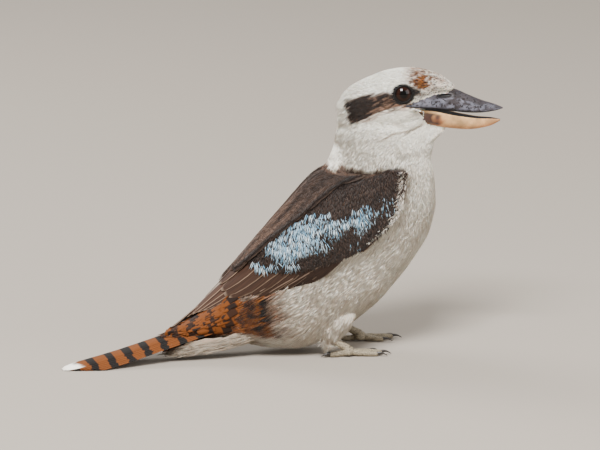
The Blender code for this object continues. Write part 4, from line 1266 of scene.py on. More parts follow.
def vane_faces(sections, columns):
    """Quads of one closed vane: upper side, underside, both edges and both ends."""
    layer, row = columns, 2 * columns
    faces = []
    for s in range(sections - 1):
        for j in range(columns - 1):
            a = s * row + j
            faces.append((a, a + row, a + row + 1, a + 1))
            faces.append((a + layer, a + layer + 1, a + layer + row + 1, a + layer + row))
        right, left = s * row, s * row + columns - 1
        faces.append((right, right + layer, right + layer + row, right + row))
        faces.append((left, left + row, left + row + layer, left + layer))
    last = (sections - 1) * row
    for j in range(columns - 1):
        faces.append((j, j + 1, j + 1 + layer, j + layer))
        faces.append((last + j, last + j + layer, last + j + 1 + layer, last + j + 1))
    return np.array(faces)


def grow_vanes(
    name, centres, normals, halves, rgb, material,
    tilt=0.0, arch=0.10, ragged=0.05, shares=VANE_ALONG, own=None,
):
    """A tier of feathers as one mesh, with their vane places and their OFBake cells."""
    count, sections = centres.shape[:2]
    columns = len(VANE_ACROSS)
    along = unit(np.gradient(centres, axis=1))
    across = unit(np.cross(normals, along))
    up = np.cross(along, across)
    lean = unit(across + up * np.asarray(tilt, float).reshape(-1, 1, 1))
    rough = chance.normal(0, ragged, (count, sections, columns)) * (np.abs(VANE_ACROSS) > 0.9)
    reach = VANE_ACROSS * (1 + rough)
    halves = np.broadcast_to(halves, (count, sections))[:, :, None]
    wide = halves * reach
    hump = halves * arch * (1 - VANE_ACROSS**2) + SHAFT_RISE * (VANE_ACROSS == 0)
    top = centres[:, :, None] + lean[:, :, None] * wide[..., None] + up[:, :, None] * hump[..., None]
    points = np.concatenate([top, top - up[:, :, None] * VANE_THICKNESS], axis=2)
    points[..., 2] = np.maximum(points[..., 2], FLOOR_GAP)
    each = sections * 2 * columns
    faces = vane_faces(sections, columns)[None] + (np.arange(count) * each)[:, None, None]
    piece = fill_mesh(name, points.reshape(-1, 3), faces.reshape(-1, 4), material)
    own = chance.random(count) if own is None else own
    rgb = np.broadcast_to(rgb, (count, 3))
    mark_points(piece.data, np.repeat(rgb, each, axis=0), np.repeat(own, each))
    place = np.empty((count, sections, 2 * columns, 3), np.float32)
    place[..., 0] = np.tile(VANE_ACROSS, 2)
    place[..., 1] = shares[None, :, None]
    place[..., 2] = own[:, None, None]
    piece.data.attributes.new("vane", "FLOAT_VECTOR", "POINT").data.foreach_set("vector", place.ravel())
    cells = math.ceil(math.sqrt(count))
    corner = abreast(np.arange(count) % cells, np.arange(count) // cells) / cells
    spots = np.stack([place[..., 0] * 0.42 + 0.5, place[..., 1] * 0.9 + 0.05], axis=-1) / cells
    store_map(piece.data, (spots + corner[:, None, None]).reshape(-1, 2))
    return piece


def wing_tier(name, side, roots, tips, half, heights, rgb, sink=0.8, tilt=0.09, bow=0.0):
    """Feathers from root to tip, each place given as station and share down."""
    roots, tips = np.array(roots, float), np.array(tips, float)
    shares = VANE_ALONG[None, :]
    station = roots[:, :1] + (tips - roots)[:, :1] * shares
    down = roots[:, 1:] + (tips - roots)[:, 1:] * shares + bow * shares * (1 - shares)
    height = np.asarray(heights, float).reshape(-1, 1) - sink * (1 - shares) ** 1.5
    centres, normals = wing_points(side, station, np.maximum(down, 0.004), height)
    halves = np.reshape(half, (-1, 1)) * rounded_tip(shares)
    return grow_vanes(name, centres, normals, halves, rgb, wing_finish, tilt * -side)


# %% [markdown]
# ## Tiers of the folded wing
#
# A folded wing closes like a fan. The primaries lie lowest and reach the wing tip, the
# secondaries lie over them with their round tips in a slanting row, then come the greater
# coverts and, in rows like roof tiles, the median and lesser coverts. The scapulars hang
# over all of them from the shoulder and back. Each tier here is given by where its tips
# end, because the tips are what the eye reads.

# %% Layout of the wing
SECONDARY_TIPS = [
    (0.79, 0.03), (0.812, 0.17), (0.825, 0.34), (0.826, 0.50), (0.82, 0.65),
    (0.808, 0.79), (0.785, 0.91), (0.75, 1.0), (0.70, 1.02),
]
GREATER_TIPS = [
    (0.60, 0.05), (0.612, 0.15), (0.608, 0.26), (0.60, 0.37), (0.585, 0.48), (0.563, 0.58),
    (0.532, 0.68), (0.492, 0.77), (0.445, 0.85), (0.395, 0.92), (0.34, 0.98),
]
SCAPULAR_EDGE = [  # station, share down where the scapulars end
    (-0.1, 0.22), (0.0, 0.21), (0.1, 0.20), (0.2, 0.165), (0.3, 0.145),
    (0.44, 0.092), (0.52, 0.085), (0.6, 0.075), (0.66, 0.06),
]
BLUE_PATCHES = [  # strength, then the corners of a patch as station and share down
    (1.0, (0.28, 0.21), (0.28, 0.33), (0.31, 0.43), (0.35, 0.50), (0.41, 0.60), (0.45, 0.51),
     (0.49, 0.51), (0.515, 0.43), (0.52, 0.33), (0.515, 0.21), (0.49, 0.12), (0.45, 0.12),
     (0.34, 0.15)),
    (0.85, (0.26, 0.29), (0.24, 0.38), (0.23, 0.50), (0.20, 0.51), (0.23, 0.62), (0.29, 0.64),
     (0.33, 0.60), (0.33, 0.50), (0.31, 0.41)),
    (0.85, (0.19, 0.56), (0.17, 0.62), (0.17, 0.78), (0.22, 0.80), (0.25, 0.85), (0.26, 0.80),
     (0.24, 0.68)),
    (0.6, (0.12, 0.53), (0.11, 0.58), (0.13, 0.78), (0.15, 0.81), (0.16, 0.75), (0.14, 0.59)),
    (0.26, (0.07, 0.65), (0.03, 0.78), (0.03, 0.94), (0.07, 0.94), (0.13, 0.90), (0.12, 0.79)),
    (0.8, (0.36, 0.53), (0.35, 0.64), (0.36, 0.69), (0.39, 0.66), (0.39, 0.59)),
    (0.45, (0.31, 0.80), (0.29, 0.86), (0.31, 0.94), (0.33, 0.88)),
    (0.95, (0.61, 0.13), (0.59, 0.21), (0.575, 0.35), (0.565, 0.49), (0.58, 0.53), (0.62, 0.44),
     (0.64, 0.30)),
    (0.6, (0.53, 0.50), (0.51, 0.58), (0.54, 0.66), (0.56, 0.60)),
]
WING_LONG, WING_DEEP = 165.0, 75.0  # rough size of the shield in mm


def blueness(station, down):
    """How blue the coverts are at places of the wing."""
    found = np.zeros(len(station))
    here = abreast(station * WING_LONG, down * WING_DEEP)
    for strength, *corners in BLUE_PATCHES:
        inside, _ = from_outline(here, np.array(corners) * (WING_LONG, WING_DEEP))
        found = np.maximum(found, strength * soft(inside, 1.2))
    return found


def scapular_edge(station):
    """How far down the scapulars reach."""
    return np.interp(station, *np.array(SCAPULAR_EDGE).T)


def front_limit(station):
    """How far down the wing's feathers reach before the breast covers them."""
    return np.interp(station, [-0.13, -0.06, 0.0, 0.10, 0.22], [0.66, 0.78, 0.88, 0.95, 0.99])


def greater_reach(down):
    """The station where the greater coverts end."""
    tips = np.array(GREATER_TIPS)
    return np.interp(down, tips[:, 1], tips[:, 0])


# %% Flight feathers and greater coverts
def flight_feathers(side, word):
    """Primaries, secondaries and greater coverts, each row from the back down."""
    share = np.linspace(0, 1, 9)
    tips = abreast(1.0 - 0.16 * share**0.9, 0.03 + 0.95 * share)
    tips[:3, 0] += 0.05 * (side == LEFT)
    roots = abreast(0.52 - 0.02 * share, 0.06 + 0.82 * share)
    primaries = wing_tier(
        f"primaries_{word}", side, roots, tips, 3.9, -2.6 + 1.6 * share**2,
        abreast(0.0, 0.75 - 0.6 * share**0.6, 0.9 - 0.5 * share), bow=0.03, tilt=0.13,
    )
    tips = np.array(SECONDARY_TIPS)
    share = np.linspace(0, 1, len(tips))
    roots = abreast(0.42 - 0.06 * share, 0.03 + 0.85 * share)
    secondaries = wing_tier(
        f"secondaries_{word}", side, roots, tips, 5.6, -1.6 + 1.4 * share**2,
        abreast(0.0, 0.5 - 0.3 * share, 0.75 - 0.45 * share), tilt=0.10, bow=0.06,
    )
    tips = np.array(GREATER_TIPS)
    share = np.linspace(0, 1, len(tips))
    roots = tips - abreast(0.20 - 0.03 * share, 0.06 + 0.03 * share)
    roots[:, 1] = np.maximum(roots[:, 1], 0.02)
    greater = wing_tier(
        f"greater_coverts_{word}", side, roots, tips, 4.9, -1.0 - 0.3 * share,
        abreast(0.0, 0.15, 0.5), tilt=0.10, bow=0.02,
    )
    return [primaries, secondaries, greater]


# %% Median and lesser coverts, and scapulars
ROW_STEP = 0.036  # stations between two rows of coverts or scapulars


def small_coverts(side, word):
    """Median and lesser coverts, in rows like roof tiles, smaller towards the shoulder."""
    tips, roots, halves = [], [], []
    for row, station in enumerate(np.arange(0.56, -0.045, -ROW_STEP)):
        downs = np.arange(scapular_edge(station) - 0.03 + 0.038 * (row % 2), 0.99, 0.075)
        for down in downs:
            at = station + chance.normal(0, 0.004)
            if at > greater_reach(down) - 0.055 or down > front_limit(at) - 0.045:
                continue
            size = np.interp(at, [0.0, 0.25, 0.5], [0.6, 0.85, 1.0])
            tips.append((at, down))
            roots.append((at - 0.088 * size, down - 0.012))
            halves.append(5.0 * size)
    tips = np.array(tips)
    warm = 0.12 + chance.uniform(-0.06, 0.08, len(tips))
    heights = -0.75 + chance.normal(0, 0.08, len(tips))
    return wing_tier(
        f"coverts_{word}", side, roots, tips, np.array(halves), heights,
        abreast(0.0, warm, 0.18), sink=0.9, tilt=0.08,
    )


def scapulars(side, word):
    """Long feathers of the back, warm brown above, darkened towards their lower edge as painted shadow."""
    tips, roots, halves, heights, warm = [], [], [], [], []
    for row, station in enumerate(np.arange(0.70, -0.03, -ROW_STEP)):
        bound = scapular_edge(station)
        for f in np.linspace(0.05 + 0.09 * (row % 2), 1.0, 6):
            f += chance.normal(0, 0.02)
            tips.append((station + chance.normal(0, 0.009), max(bound * f**2, 0.0)))
            roots.append((station - 0.15, scapular_edge(station - 0.15) * f**2 * 0.9))
            halves.append(4.6 + chance.normal(0, 0.5))
            heights.append(-1.2 + 0.9 * f + 1.2 * min(f, 1) ** 4 + chance.normal(0, 0.12))
            # Painted shadow: the warmth falls away towards the scapulars' lower edge.
            warm.append((0.48 + 0.2 * (1 - f) + chance.normal(0, 0.16)) * (1 - 0.8 * min(f, 1) ** 6))
            warm[-1] *= 0.25 + 0.75 * float(soft(station - 0.16, 0.14))
    return wing_tier(
        f"scapulars_{word}", side, roots, tips, np.array(halves), heights,
        abreast(0.0, np.clip(np.array(warm), 0.05, 1.0), 0.1), sink=0.9, tilt=0.10,
    )


# %% [markdown]
# The coverts' tips are the finest part of the wing. Their barbs don't zip there, so each
# feather ends in a fringe of separate strands that slant down across the wing, dark
# brown, and pale blue to nearly white in scalloped rows where the patch is. The strands are
# thin blades like those of the coat.

# %% Fringe of the coverts
FRINGE_BROWN, SKY_BLUE, PALE_BLUE = "#73594A", "#6BA6C8", "#F0F8F8"

fringe_finish, tree = new_material(
    "unzipped_fringe", Roughness=0.75, Specular_IOR_Level=0.2, Sheen_Weight=0.08
)
blue_share, warm, pale = marks_of(tree)
brown, blue = mixed(tree, warm, UMBER, FRINGE_BROWN), mixed(tree, pale, SKY_BLUE, PALE_BLUE)
lead_colour(tree, mixed(tree, blue_share, brown, blue))
FRINGES = {  # strands drawn, degrees down from the wing's length, length, width, warmth
    "coverts": (12500, 40.0, 4.6, 0.55, 0.08),
    "scapulars": (30000, 3.0, 6.0, 0.42, 0.55),
}
BARBS, BARB_SLANT = 7, 47.0  # pale barbs at a covert's tip, and degrees that they slant down
FLUFF = 2600  # loose strands over a wing's front edge


def wing_frames(side, station, down, height):
    """Places on the wing with their normals, the way to the wing tip and the way down."""
    roots, normals = wing_points(side, station, down, height)
    ahead, _ = wing_points(side, station + 0.02, down, height)
    step = np.where(down > 0.96, -0.03, 0.03)
    beside, _ = wing_points(side, station, down + step, height)
    return roots, normals, unit(ahead - roots), unit((beside - roots) * np.sign(step)[:, None])


def slanted(along, below, normals, degrees):
    """The way down the wing by an angle from its length, laid on its surface."""
    angle = np.reshape(np.radians(degrees), (-1, 1))
    return laid_flat(along * np.cos(angle) + below * np.sin(angle), normals)


def wing_spots(station, down):
    """Places of the wing on the OFBake map."""
    return abreast(station * 0.8 + 0.1, down * 0.8 + 0.1)


def fringe(side, word, over):
    """Strands over the coverts, brown or blue, or brown ones over the scapulars."""
    count, slant, length, width, base = FRINGES[over]
    scapular = over == "scapulars"
    station = chance.uniform(-0.12, 0.66, count)
    down = chance.uniform(0.0, 0.99, count)
    edge = scapular_edge(station)
    if scapular:
        keep = down < edge + 0.004
    else:
        keep = (down > edge - 0.01) & (station < greater_reach(down) - 0.012)
        keep &= down < front_limit(station) - 0.01
    station, down, edge = station[keep], down[keep], edge[keep]
    count = len(station)
    inward = np.sqrt(np.clip(down / edge, 0, 1.2))
    height = np.where(down < edge + 0.004, -0.6 + 0.9 * inward + 1.3 * inward**4, -0.45)
    roots, normals, along, below = wing_frames(side, station, down, height)
    by_edge = soft(down - edge + 0.02, 0.012) * scapular
    lies = slanted(along, below, normals, slant + 22 * by_edge + chance.normal(0, 8, count))
    streaks = waves(abreast(station * 12, down * WING_DEEP, 0), 2.2, 51)
    # Painted shadow: covert strands just below the scapulars' edge are darkened.
    shade_under_scapulars = soft(0.035 - down + edge, 0.02) * (not scapular)
    warm = base - 0.1 * shade_under_scapulars + 0.22 * streaks * scapular + chance.normal(0, 0.14, count)
    # Painted shadow: scapular strands at the edge turn nearly black, and they also hang lower.
    warm = np.clip(warm, 0, 1) * (1 - 0.9 * by_edge)
    if scapular:
        warm = warm * (0.2 + 0.8 * soft(station - 0.16, 0.14))
    field = blueness(station, down) * (not scapular)
    blue = np.where(chance.random(count) < field * 0.5, 0.85, 0.0)
    return grow(
        f"fringe_{over}_{word}", roots, normals, lies, length * chance.uniform(0.7, 1.25, count),
        width, chance.uniform(0.25, 0.65, count),
        abreast(blue, warm, chance.uniform(0, 0.6, count)),
        wing_spots(station, down), fringe_finish,
    )


def blue_barbs(side, word):
    """Scalloped rows of pale barbs, a fan of them at the tip of each small covert."""
    rows = np.arange(0.655, -0.04, -0.040)
    station = np.repeat(rows, 12) + chance.normal(0, 0.005, len(rows) * 12)
    down = (0.05 + 0.08 * np.arange(12) + 0.04 * (np.arange(len(rows)) % 2)[:, None]).ravel()
    down = np.clip(down + chance.normal(0, 0.005, len(down)), 0.02, 0.97)
    strength = blueness(station, down)
    chosen = strength > 0.15 + 0.6 * chance.random(len(down)) + 0.25 * soft(0.34 - station, 0.05)
    station, down, strength = (np.repeat(row[chosen], BARBS) for row in (station, down, strength))
    count = len(station)
    fan = np.tile(np.linspace(-1, 1, BARBS), count // BARBS)
    roots, normals, along, below = wing_frames(side, station, down, -0.2)
    middle = slanted(along, below, normals, BARB_SLANT)
    sideways = np.cross(normals, middle) * side
    roots = roots + sideways * (fan * 3.3)[:, None] - middle * (1.5 * fan**2 + 3.0)[:, None]
    lies = slanted(along, below, normals, BARB_SLANT - 13 * fan + chance.normal(0, 5, count))
    blue = np.where(chance.random(count) < 0.92, np.clip(0.35 + 0.75 * strength, 0, 1), 0.0)
    pale = np.clip(0.25 + 0.75 * chance.random(count) ** 1.3 - 0.25 * np.abs(fan), 0, 1)
    return grow(
        f"blue_barbs_{word}", roots, normals, lies, 6.4 * chance.uniform(0.8, 1.15, count),
        0.62, chance.uniform(0.7, 1.1, count),
        abreast(blue, 0.1, pale), wing_spots(station, down), fringe_finish,
    )


def edge_fluff(side, word):
    """Loose feathers of the breast that fall over the wing's front edge."""
    station = chance.uniform(-0.12, 0.28, FLUFF)
    down = np.minimum(front_limit(station) + chance.normal(0.014, 0.02, FLUFF), 0.985)
    reach = np.interp(station, [-0.12, 0.0, 0.12, 0.30], [9.0, 8.0, 4.5, 3.0])
    reach = reach * chance.uniform(0.5, 1.2, FLUFF)
    height = -0.8 - 8.0 * chance.random(FLUFF) ** 2
    roots, normals, along, below = wing_frames(side, station, down, height)
    turn = np.interp(station, [-0.1, 0.08, 0.3], [-20, -10, -4]) + chance.normal(0, 15, FLUFF)
    lies = slanted(along, below, normals, turn)
    speck = 0.3 * (chance.random(FLUFF) < 0.15)
    brown = 0.9 * (chance.random(FLUFF) < soft(station - 0.2, 0.09))
    rufous = 0.6 * chance.random(FLUFF) ** 2 * soft(0.12 - station, 0.08)
    rgb = abreast(np.maximum(speck, brown), rufous, chance.uniform(0.05, 0.7, FLUFF))
    return grow(
        f"edge_fluff_{word}", roots, normals, lies, reach, 0.45,
        chance.uniform(0.5, 1.5, FLUFF), rgb, wing_spots(station, down), coat_finish,
    )


wings = {}
for side, word in SIDES:
    wings[word] = flight_feathers(side, word) + [
        small_coverts(side, word), scapulars(side, word), fringe(side, word, "coverts"),
        fringe(side, word, "scapulars"), blue_barbs(side, word), edge_fluff(side, word),
    ]
    print("wing", word, [(piece.name, triangles(piece)) for piece in wings[word]])

# %% [markdown]
# ## Tail
#
# The twelve tail feathers close like a hand of cards, the middle pair on top. Their ground
# colour is a bright rufous, crossed by blackish bars every 14 mm, and about the last
# centimetre is white. The bars have soft edges, because pigment is laid down while the
# feather grows. The shader measures millimetres from the feather's tip to place them.

# %% Finish of the tail feathers
TAIL_RUFOUS, TAIL_BAR, TAIL_WHITE = "#66350B", "#0E0805", "#F5EFE4"
BAR_PITCH, WHITE_TIP = 13.8, 8.0  # mm
BAR_START = 24.0  # mm from the tail's tip to the last bar
LENGTH_UNIT, SHIFT_UNIT = 200.0, 20.0  # mm that a stored length and a feather's own number count

tail_finish, tree = new_material(
    "barred_tail_feathers", Roughness=0.7, Specular_IOR_Level=0.2, Sheen_Weight=0.02
)
across, along, own, side_place, barbs = vane_coordinates(tree, 90.0)
bar_share, length, white_share = marks_of(tree)
from_tip = arithmetic(tree, "SUBTRACT", 1.0, along)
from_tip = arithmetic(tree, "MULTIPLY", from_tip, arithmetic(tree, "MULTIPLY", length, LENGTH_UNIT))
place = add_node(tree, "ShaderNodeCombineXYZ", inputs={"X": from_tip, "Y": across, "Z": own})
wobble = arithmetic(tree, "MULTIPLY_ADD", noise(tree, place.outputs[0], 0.2, 1.5), 5.0, from_tip)
shifted = arithmetic(tree, "MULTIPLY_ADD", own, SHIFT_UNIT, wobble)
a_bar = 2 * math.pi / BAR_PITCH
turn = arithmetic(tree, "MULTIPLY_ADD", shifted, a_bar, -BAR_START * a_bar)
bar = ranged(tree, arithmetic(tree, "COSINE", turn), 0.12, 0.42)
barred = mixed(tree, arithmetic(tree, "MULTIPLY", bar, bar_share), TAIL_RUFOUS, TAIL_BAR)
tip_edge = ranged(tree, wobble, WHITE_TIP + 6, WHITE_TIP + 2)
side_edge = ranged(tree, arithmetic(tree, "MULTIPLY_ADD", side_place, -5.0, wobble), 14.0, 8.0)
white = arithmetic(tree, "MULTIPLY", arithmetic(tree, "MAXIMUM", tip_edge, side_edge), white_share)
shade = ranged(tree, barbs, 0.3, 0.7, 0.8, 1.15, "LINEAR")
lead_colour(tree, mixed(tree, white, barred, TAIL_WHITE), shade)
lead_bump(tree, barbs, 0.3, 0.0003)

# %% Tail feathers and the coverts at their root
TAIL_LINE = [(-12.0, 37.0), (-45.0, 31.0), (-90.0, 20.4), (-135.0, 9.4), (-180.5, 1.0)]
TAIL_PAIRS, TAIL_SPREAD, TAIL_STEP_DOWN = 6, 9.5, 0.9
TAIL_ROOT, TAIL_SHORTER = 0.06, 0.022  # shares of the line: where feathers start, a pair's loss
LONG_VANE = np.array([0.0, 0.12, 0.25, 0.38, 0.5, 0.62, 0.72, 0.81, 0.88, 0.94, 0.98, 1.0])

tail_line = smooth_rows(TAIL_LINE, 61)
tail_line = abreast(tail_line[:, 0], sway(tail_line[:, 0]), tail_line[:, 1])
tail_length = np.linalg.norm(np.diff(tail_line, axis=0), axis=1).sum()


def tail_points(sideways, down, share):
    """Points sideways and down from the tail's middle line, and which way is up there."""
    marks_along = np.linspace(0, 1, len(tail_line))
    slope = np.gradient(tail_line, axis=0)
    point, along = (
        np.stack([np.interp(share, marks_along, line[:, k]) for k in range(3)], axis=-1)
        for line in (tail_line, slope)
    )
    across = unit(np.cross(along, [0, 0, 1.0]))
    up = unit(np.cross(across, along))
    return point + across * sideways[..., None] - up * down[..., None], up


pair, side = (grid.ravel() for grid in np.meshgrid(range(TAIL_PAIRS), (LEFT, RIGHT), indexing="ij"))
sideways = side * TAIL_SPREAD * (pair + 0.35) / (TAIL_PAIRS - 0.65)
down = TAIL_STEP_DOWN * (pair + 0.5 * (side == RIGHT)) + 0.2
ends = 1.0 - TAIL_SHORTER * pair
count = len(ends)
share = TAIL_ROOT + (ends[:, None] - TAIL_ROOT) * LONG_VANE
centres, normals = tail_points(
    sideways[:, None] * (0.75 + 0.25 * share), np.repeat(down[:, None], len(LONG_VANE), 1), share
)
short_by = (1 - ends) * tail_length
tail_feathers = grow_vanes(
    "tail_feathers", centres, normals,
    7.6 * rounded_tip(LONG_VANE, root=0.6, start=0.9),
    abreast(1.0, (ends - TAIL_ROOT) * tail_length / LENGTH_UNIT, short_by < 1),
    tail_finish, arch=0.24, ragged=0.015, shares=LONG_VANE,
    own=(short_by + chance.normal(0, 0.4, count)) / SHIFT_UNIT,
)
print("tail:", count, "feathers,", round(tail_length), "mm of line")

# %% [markdown]
# The tail coverts lie round the rump like the feathers of a shuttlecock. The upper ones are
# each laid on the nearest place of the skin, so that they follow its curve, rufous and barred
# above and at the sides; the lower ones are long and off-white, painted grey and darker as shade.

# %% Coverts of the tail
COVERT_LENGTH, UNDER_COVERTS, UNDER_STRANDS = 26.0, 15, 5000
skin_places = search_tree(skin_points)


def on_skin(points, height):
    """Points moved straight onto the skin and then up by a height, with the normals."""
    flat = points.reshape(-1, 3)
    nearest = np.array([skin_places.find(place)[1] for place in flat])
    normals = skin_normals[nearest]
    over = ((flat - skin_points[nearest]) * normals).sum(1, keepdims=True)
    wanted = np.broadcast_to(height, points.shape[:-1]).reshape(-1, 1)
    placed = flat - normals * over + normals * wanted
    return placed.reshape(points.shape), normals.reshape(points.shape)


def tail_coverts(name, tips, half, height, rgb, own, sink=2.6):
    """Coverts that end at the given places round the trunk: x, degrees from the top."""
    x, turn = tips.T
    at = x[:, None] + COVERT_LENGTH * (1 - VANE_ALONG)
    rows = np.array(TRUNK_RIBS)
    order = np.argsort(rows[:, 0])
    middle_z = np.interp(at, rows[order, 0], (rows[order, 1] + rows[order, 3]) / 2)
    reach = np.interp(at, rows[order, 0], rows[order, 4])
    angle = np.radians(turn)[:, None]
    reach = reach * 1.3
    start = abreast(at, sway(at) + np.sin(angle) * reach, middle_z + np.cos(angle) * reach)
    lifted = height - sink * (1 - VANE_ALONG) ** 1.5
    centres, normals = on_skin(start, lifted)
    halves = half * rounded_tip(VANE_ALONG)
    return grow_vanes(name, centres, normals, halves, rgb, tail_finish, arch=0.06, ragged=0.12, own=own)


tips, rows_of_tips = [], []
for row, x in enumerate(np.arange(-98.0, -56.0, BAR_PITCH / 2)):
    for turn in np.arange(-100 + 8 * (row % 2), 101, 15.0):
        tips.append((x + chance.normal(0, 0.8), turn + chance.normal(0, 2)))
        rows_of_tips.append(row)
tips, rows_of_tips = np.array(tips), np.array(rows_of_tips)
covert_marks = abreast(chance.uniform(0.8, 1.0, len(tips)), COVERT_LENGTH / LENGTH_UNIT, 0.0)
upper_coverts = tail_coverts(
    "tail_coverts_upper", tips, 5.0, np.minimum(rows_of_tips * 0.6, 1.2)[:, None], covert_marks,
    (rows_of_tips % 2 * BAR_PITCH / 2 + chance.normal(0, 0.6, len(tips))) / SHIFT_UNIT,
)
print("upper tail coverts:", len(tips))


def facing_down(turn):
    """The way out of the body at a turn from straight down."""
    return abreast(0, np.sin(turn), -np.cos(turn))


def under_line(share, starts, ends):
    """Places on the sagging lines from the starts to the ends."""
    places = starts * (1 - share)[..., None] + ends * share[..., None]
    places[..., 2] -= 3.0 * np.sin(math.pi * share)
    return places


fan = np.linspace(-1, 1, UNDER_COVERTS) * 1.35  # turn from straight down, in radians
sag = 1 - np.cos(fan)
ends_x = -96 + 9 * np.abs(fan) + chance.normal(0, 2, UNDER_COVERTS)
under_ends = abreast(ends_x, sway(-92.0) + 11 * np.sin(fan), 6.5 + 6 * sag)
under_starts = abreast(-14, sway(-20.0) + 19 * np.sin(fan), 15 + 12 * sag)
# The under coverts are off-white feathers. The grey and the dark in their marks are painted shade.
under_coverts = grow_vanes(
    "tail_coverts_under", under_line(LONG_VANE[None], under_starts[:, None], under_ends[:, None]),
    np.repeat(facing_down(fan)[:, None], len(LONG_VANE), axis=1),
    5.6 * rounded_tip(LONG_VANE, 0.7, 0.75),
    (0.45, 0.0, 1.0), coat_finish, arch=0.12, ragged=0.12, shares=LONG_VANE,
)
count = UNDER_STRANDS
spot = chance.integers(0, UNDER_COVERTS, count)
base = under_line(chance.uniform(0.1, 0.93, count), under_starts[spot], under_ends[spot])
outward = facing_down(fan[spot] + chance.normal(0, 0.09, count))
base[:, 1] += chance.normal(0, 1.8, count) * np.cos(fan[spot])
base[:, 2] += chance.normal(0, 1.8, count) * np.abs(np.sin(fan[spot]))
ways = unit(unit(under_ends - under_starts)[spot] + chance.normal(0, 0.05, (count, 3)))
# The loose strands under the tail carry the same painted shade: grey, and darker at random.
under_down = grow(
    "tail_coverts_under_down", base + outward * 0.5, outward, ways,
    chance.uniform(8, 17, count), 0.45, chance.uniform(0.2, 0.9, count),
    abreast(chance.uniform(0.15, 0.6, count), 0.0, chance.uniform(0.8, 1.0, count)),
    unwrap(base), coat_finish,
)
print("under tail coverts:", UNDER_COVERTS, "and", UNDER_STRANDS, "strands")

# %% [markdown]
# ## Bill
#
# A bill is bone under a sheath of horn, the stuff of fingernails: satin, slightly
# translucent and pitted with pores. The upper half is slate grey with dark mottling, the
# lower one the colour of old ivory, flushed at its base.

# %% Horn of the bill
def bill_finish(name, colours, pores, pore_colour):
    """Horn of three colours by its markings, with pores and soiled patches."""
    made, tree = new_material(
        name, Roughness=0.42, Specular_IOR_Level=0.22, Subsurface_Weight=0.05, Subsurface_Scale=0.0005
    )
    second, third, pore_share = marks_of(tree)
    colour = mixed(tree, third, mixed(tree, second, colours[0], colours[1]), colours[2])
    place = add_node(tree, "ShaderNodeTexCoord").outputs["Object"]
    pits = noise(tree, place, 520.0, 3.0, 0.65)
    pit = arithmetic(tree, "MULTIPLY", ranged(tree, pits, 0.53, 0.6, 0.0, pores), pore_share)
    soil = ranged(tree, noise(tree, place, 130.0, 4.0, 0.6), 0.3, 0.7, 0.55, 1.25, "LINEAR")
    lead_colour(tree, mixed(tree, pit, colour, pore_colour), soil)
    lead_bump(tree, pits, 0.35, 0.0002)
    return made


slate_horn = bill_finish("slate_grey_horn", ("#64636D", "#2B2320", "#0C0908"), 0.95, "#1A1513")
ivory_horn = bill_finish("ivory_horn", ("#D9AE7C", "#C27A50", "#2E2A30"), 0.4, "#8A5526")

# %% Shape of the bill
BILL_ROWS, BILL_SIDES, INNER_SIDES = 110, 60, 9
NOSTRIL, NOSTRIL_HALF = (131.4, 206.8), (5.6, 1.3)  # middle x, z; half length and half height


def bill_half(name, table, material, paint_marks):
    """One half of the bill: peaked arches between the tables' rows, slightly hollow inside."""
    rows = smooth_rows(table, BILL_ROWS)
    turns = np.linspace(0, math.pi, BILL_SIDES)
    rings, marks = [], []
    for x, ridge, edge, half, full in rows:
        rise = ridge - edge
        sides = fuller(np.cos(turns), full)
        arch = abreast(x, half * sides, edge + rise * np.sin(turns) ** (2 / full))
        inner = np.linspace(-0.86, 0.86, INNER_SIDES) * half
        hollow = abreast(x, inner, edge + rise * 0.14 * (1 - (inner / half) ** 2))
        ring = np.vstack([arch, hollow])
        marks.append(paint_marks(ring, x, edge, rise, half))
        ring[:, 1] *= 1 - 0.25 * nostril(ring)
        rings.append(turned(ring))
    piece = new_piece(name, *loft_mesh(rings), material)
    rgb = np.vstack([np.array(marks).reshape(-1, 3), marks[0].mean(0), marks[-1].mean(0)])
    mark_points(piece.data, rgb, np.zeros(len(rgb)))
    return piece


def upper_marks(ring, x, edge, rise, half):
    """Dark ridge with smears, dark cutting edge, and pores at the sides near the base; the inside and the
    nostril's slit are painted black as shade.
    """
    height = (ring[:, 2] - edge) / rise
    wander = waves(ring * np.array([0.5, 1, 1]), 3.5, 31)
    ridge = soft(height - np.interp(x, [125, 140, 175], [0.72, 0.5, 0.62]) + 0.3 * wander, 0.14)
    ridge *= np.interp(x, [118, 138, 172], [0.5, 0.85, 0.7])
    smear = soft(waves(ring, 2.0, 33) - 0.3, 0.35)
    smear = smear * np.interp(x, [120, 138, 165, 176], [0.15, 0.9, 0.7, 0.3])
    lip = soft(0.13 - height, 0.06) * np.interp(x, [100, 130, 176], [1.0, 0.95, 0.8])
    pores = np.interp(x, [110, 160, 176], [1.0, 1.0, 0.6])
    # The lip's black also covers the inside of the half as painted shade of the mouth, and the nostril's
    # slit is painted black as the shade of its opening.
    black = np.maximum(lip, nostril(ring))
    return abreast(np.clip(np.maximum(ridge, smear), 0, 1), black, pores)


def nostril(ring):
    """1 in the slit of the nostril, which opens just below the edge of the feathers."""
    along = ring[:, 0] - NOSTRIL[0]
    across = ring[:, 2] - NOSTRIL[1] - 0.05 * along
    return soft(1 - np.hypot(along / NOSTRIL_HALF[0], across / NOSTRIL_HALF[1]), 0.25)


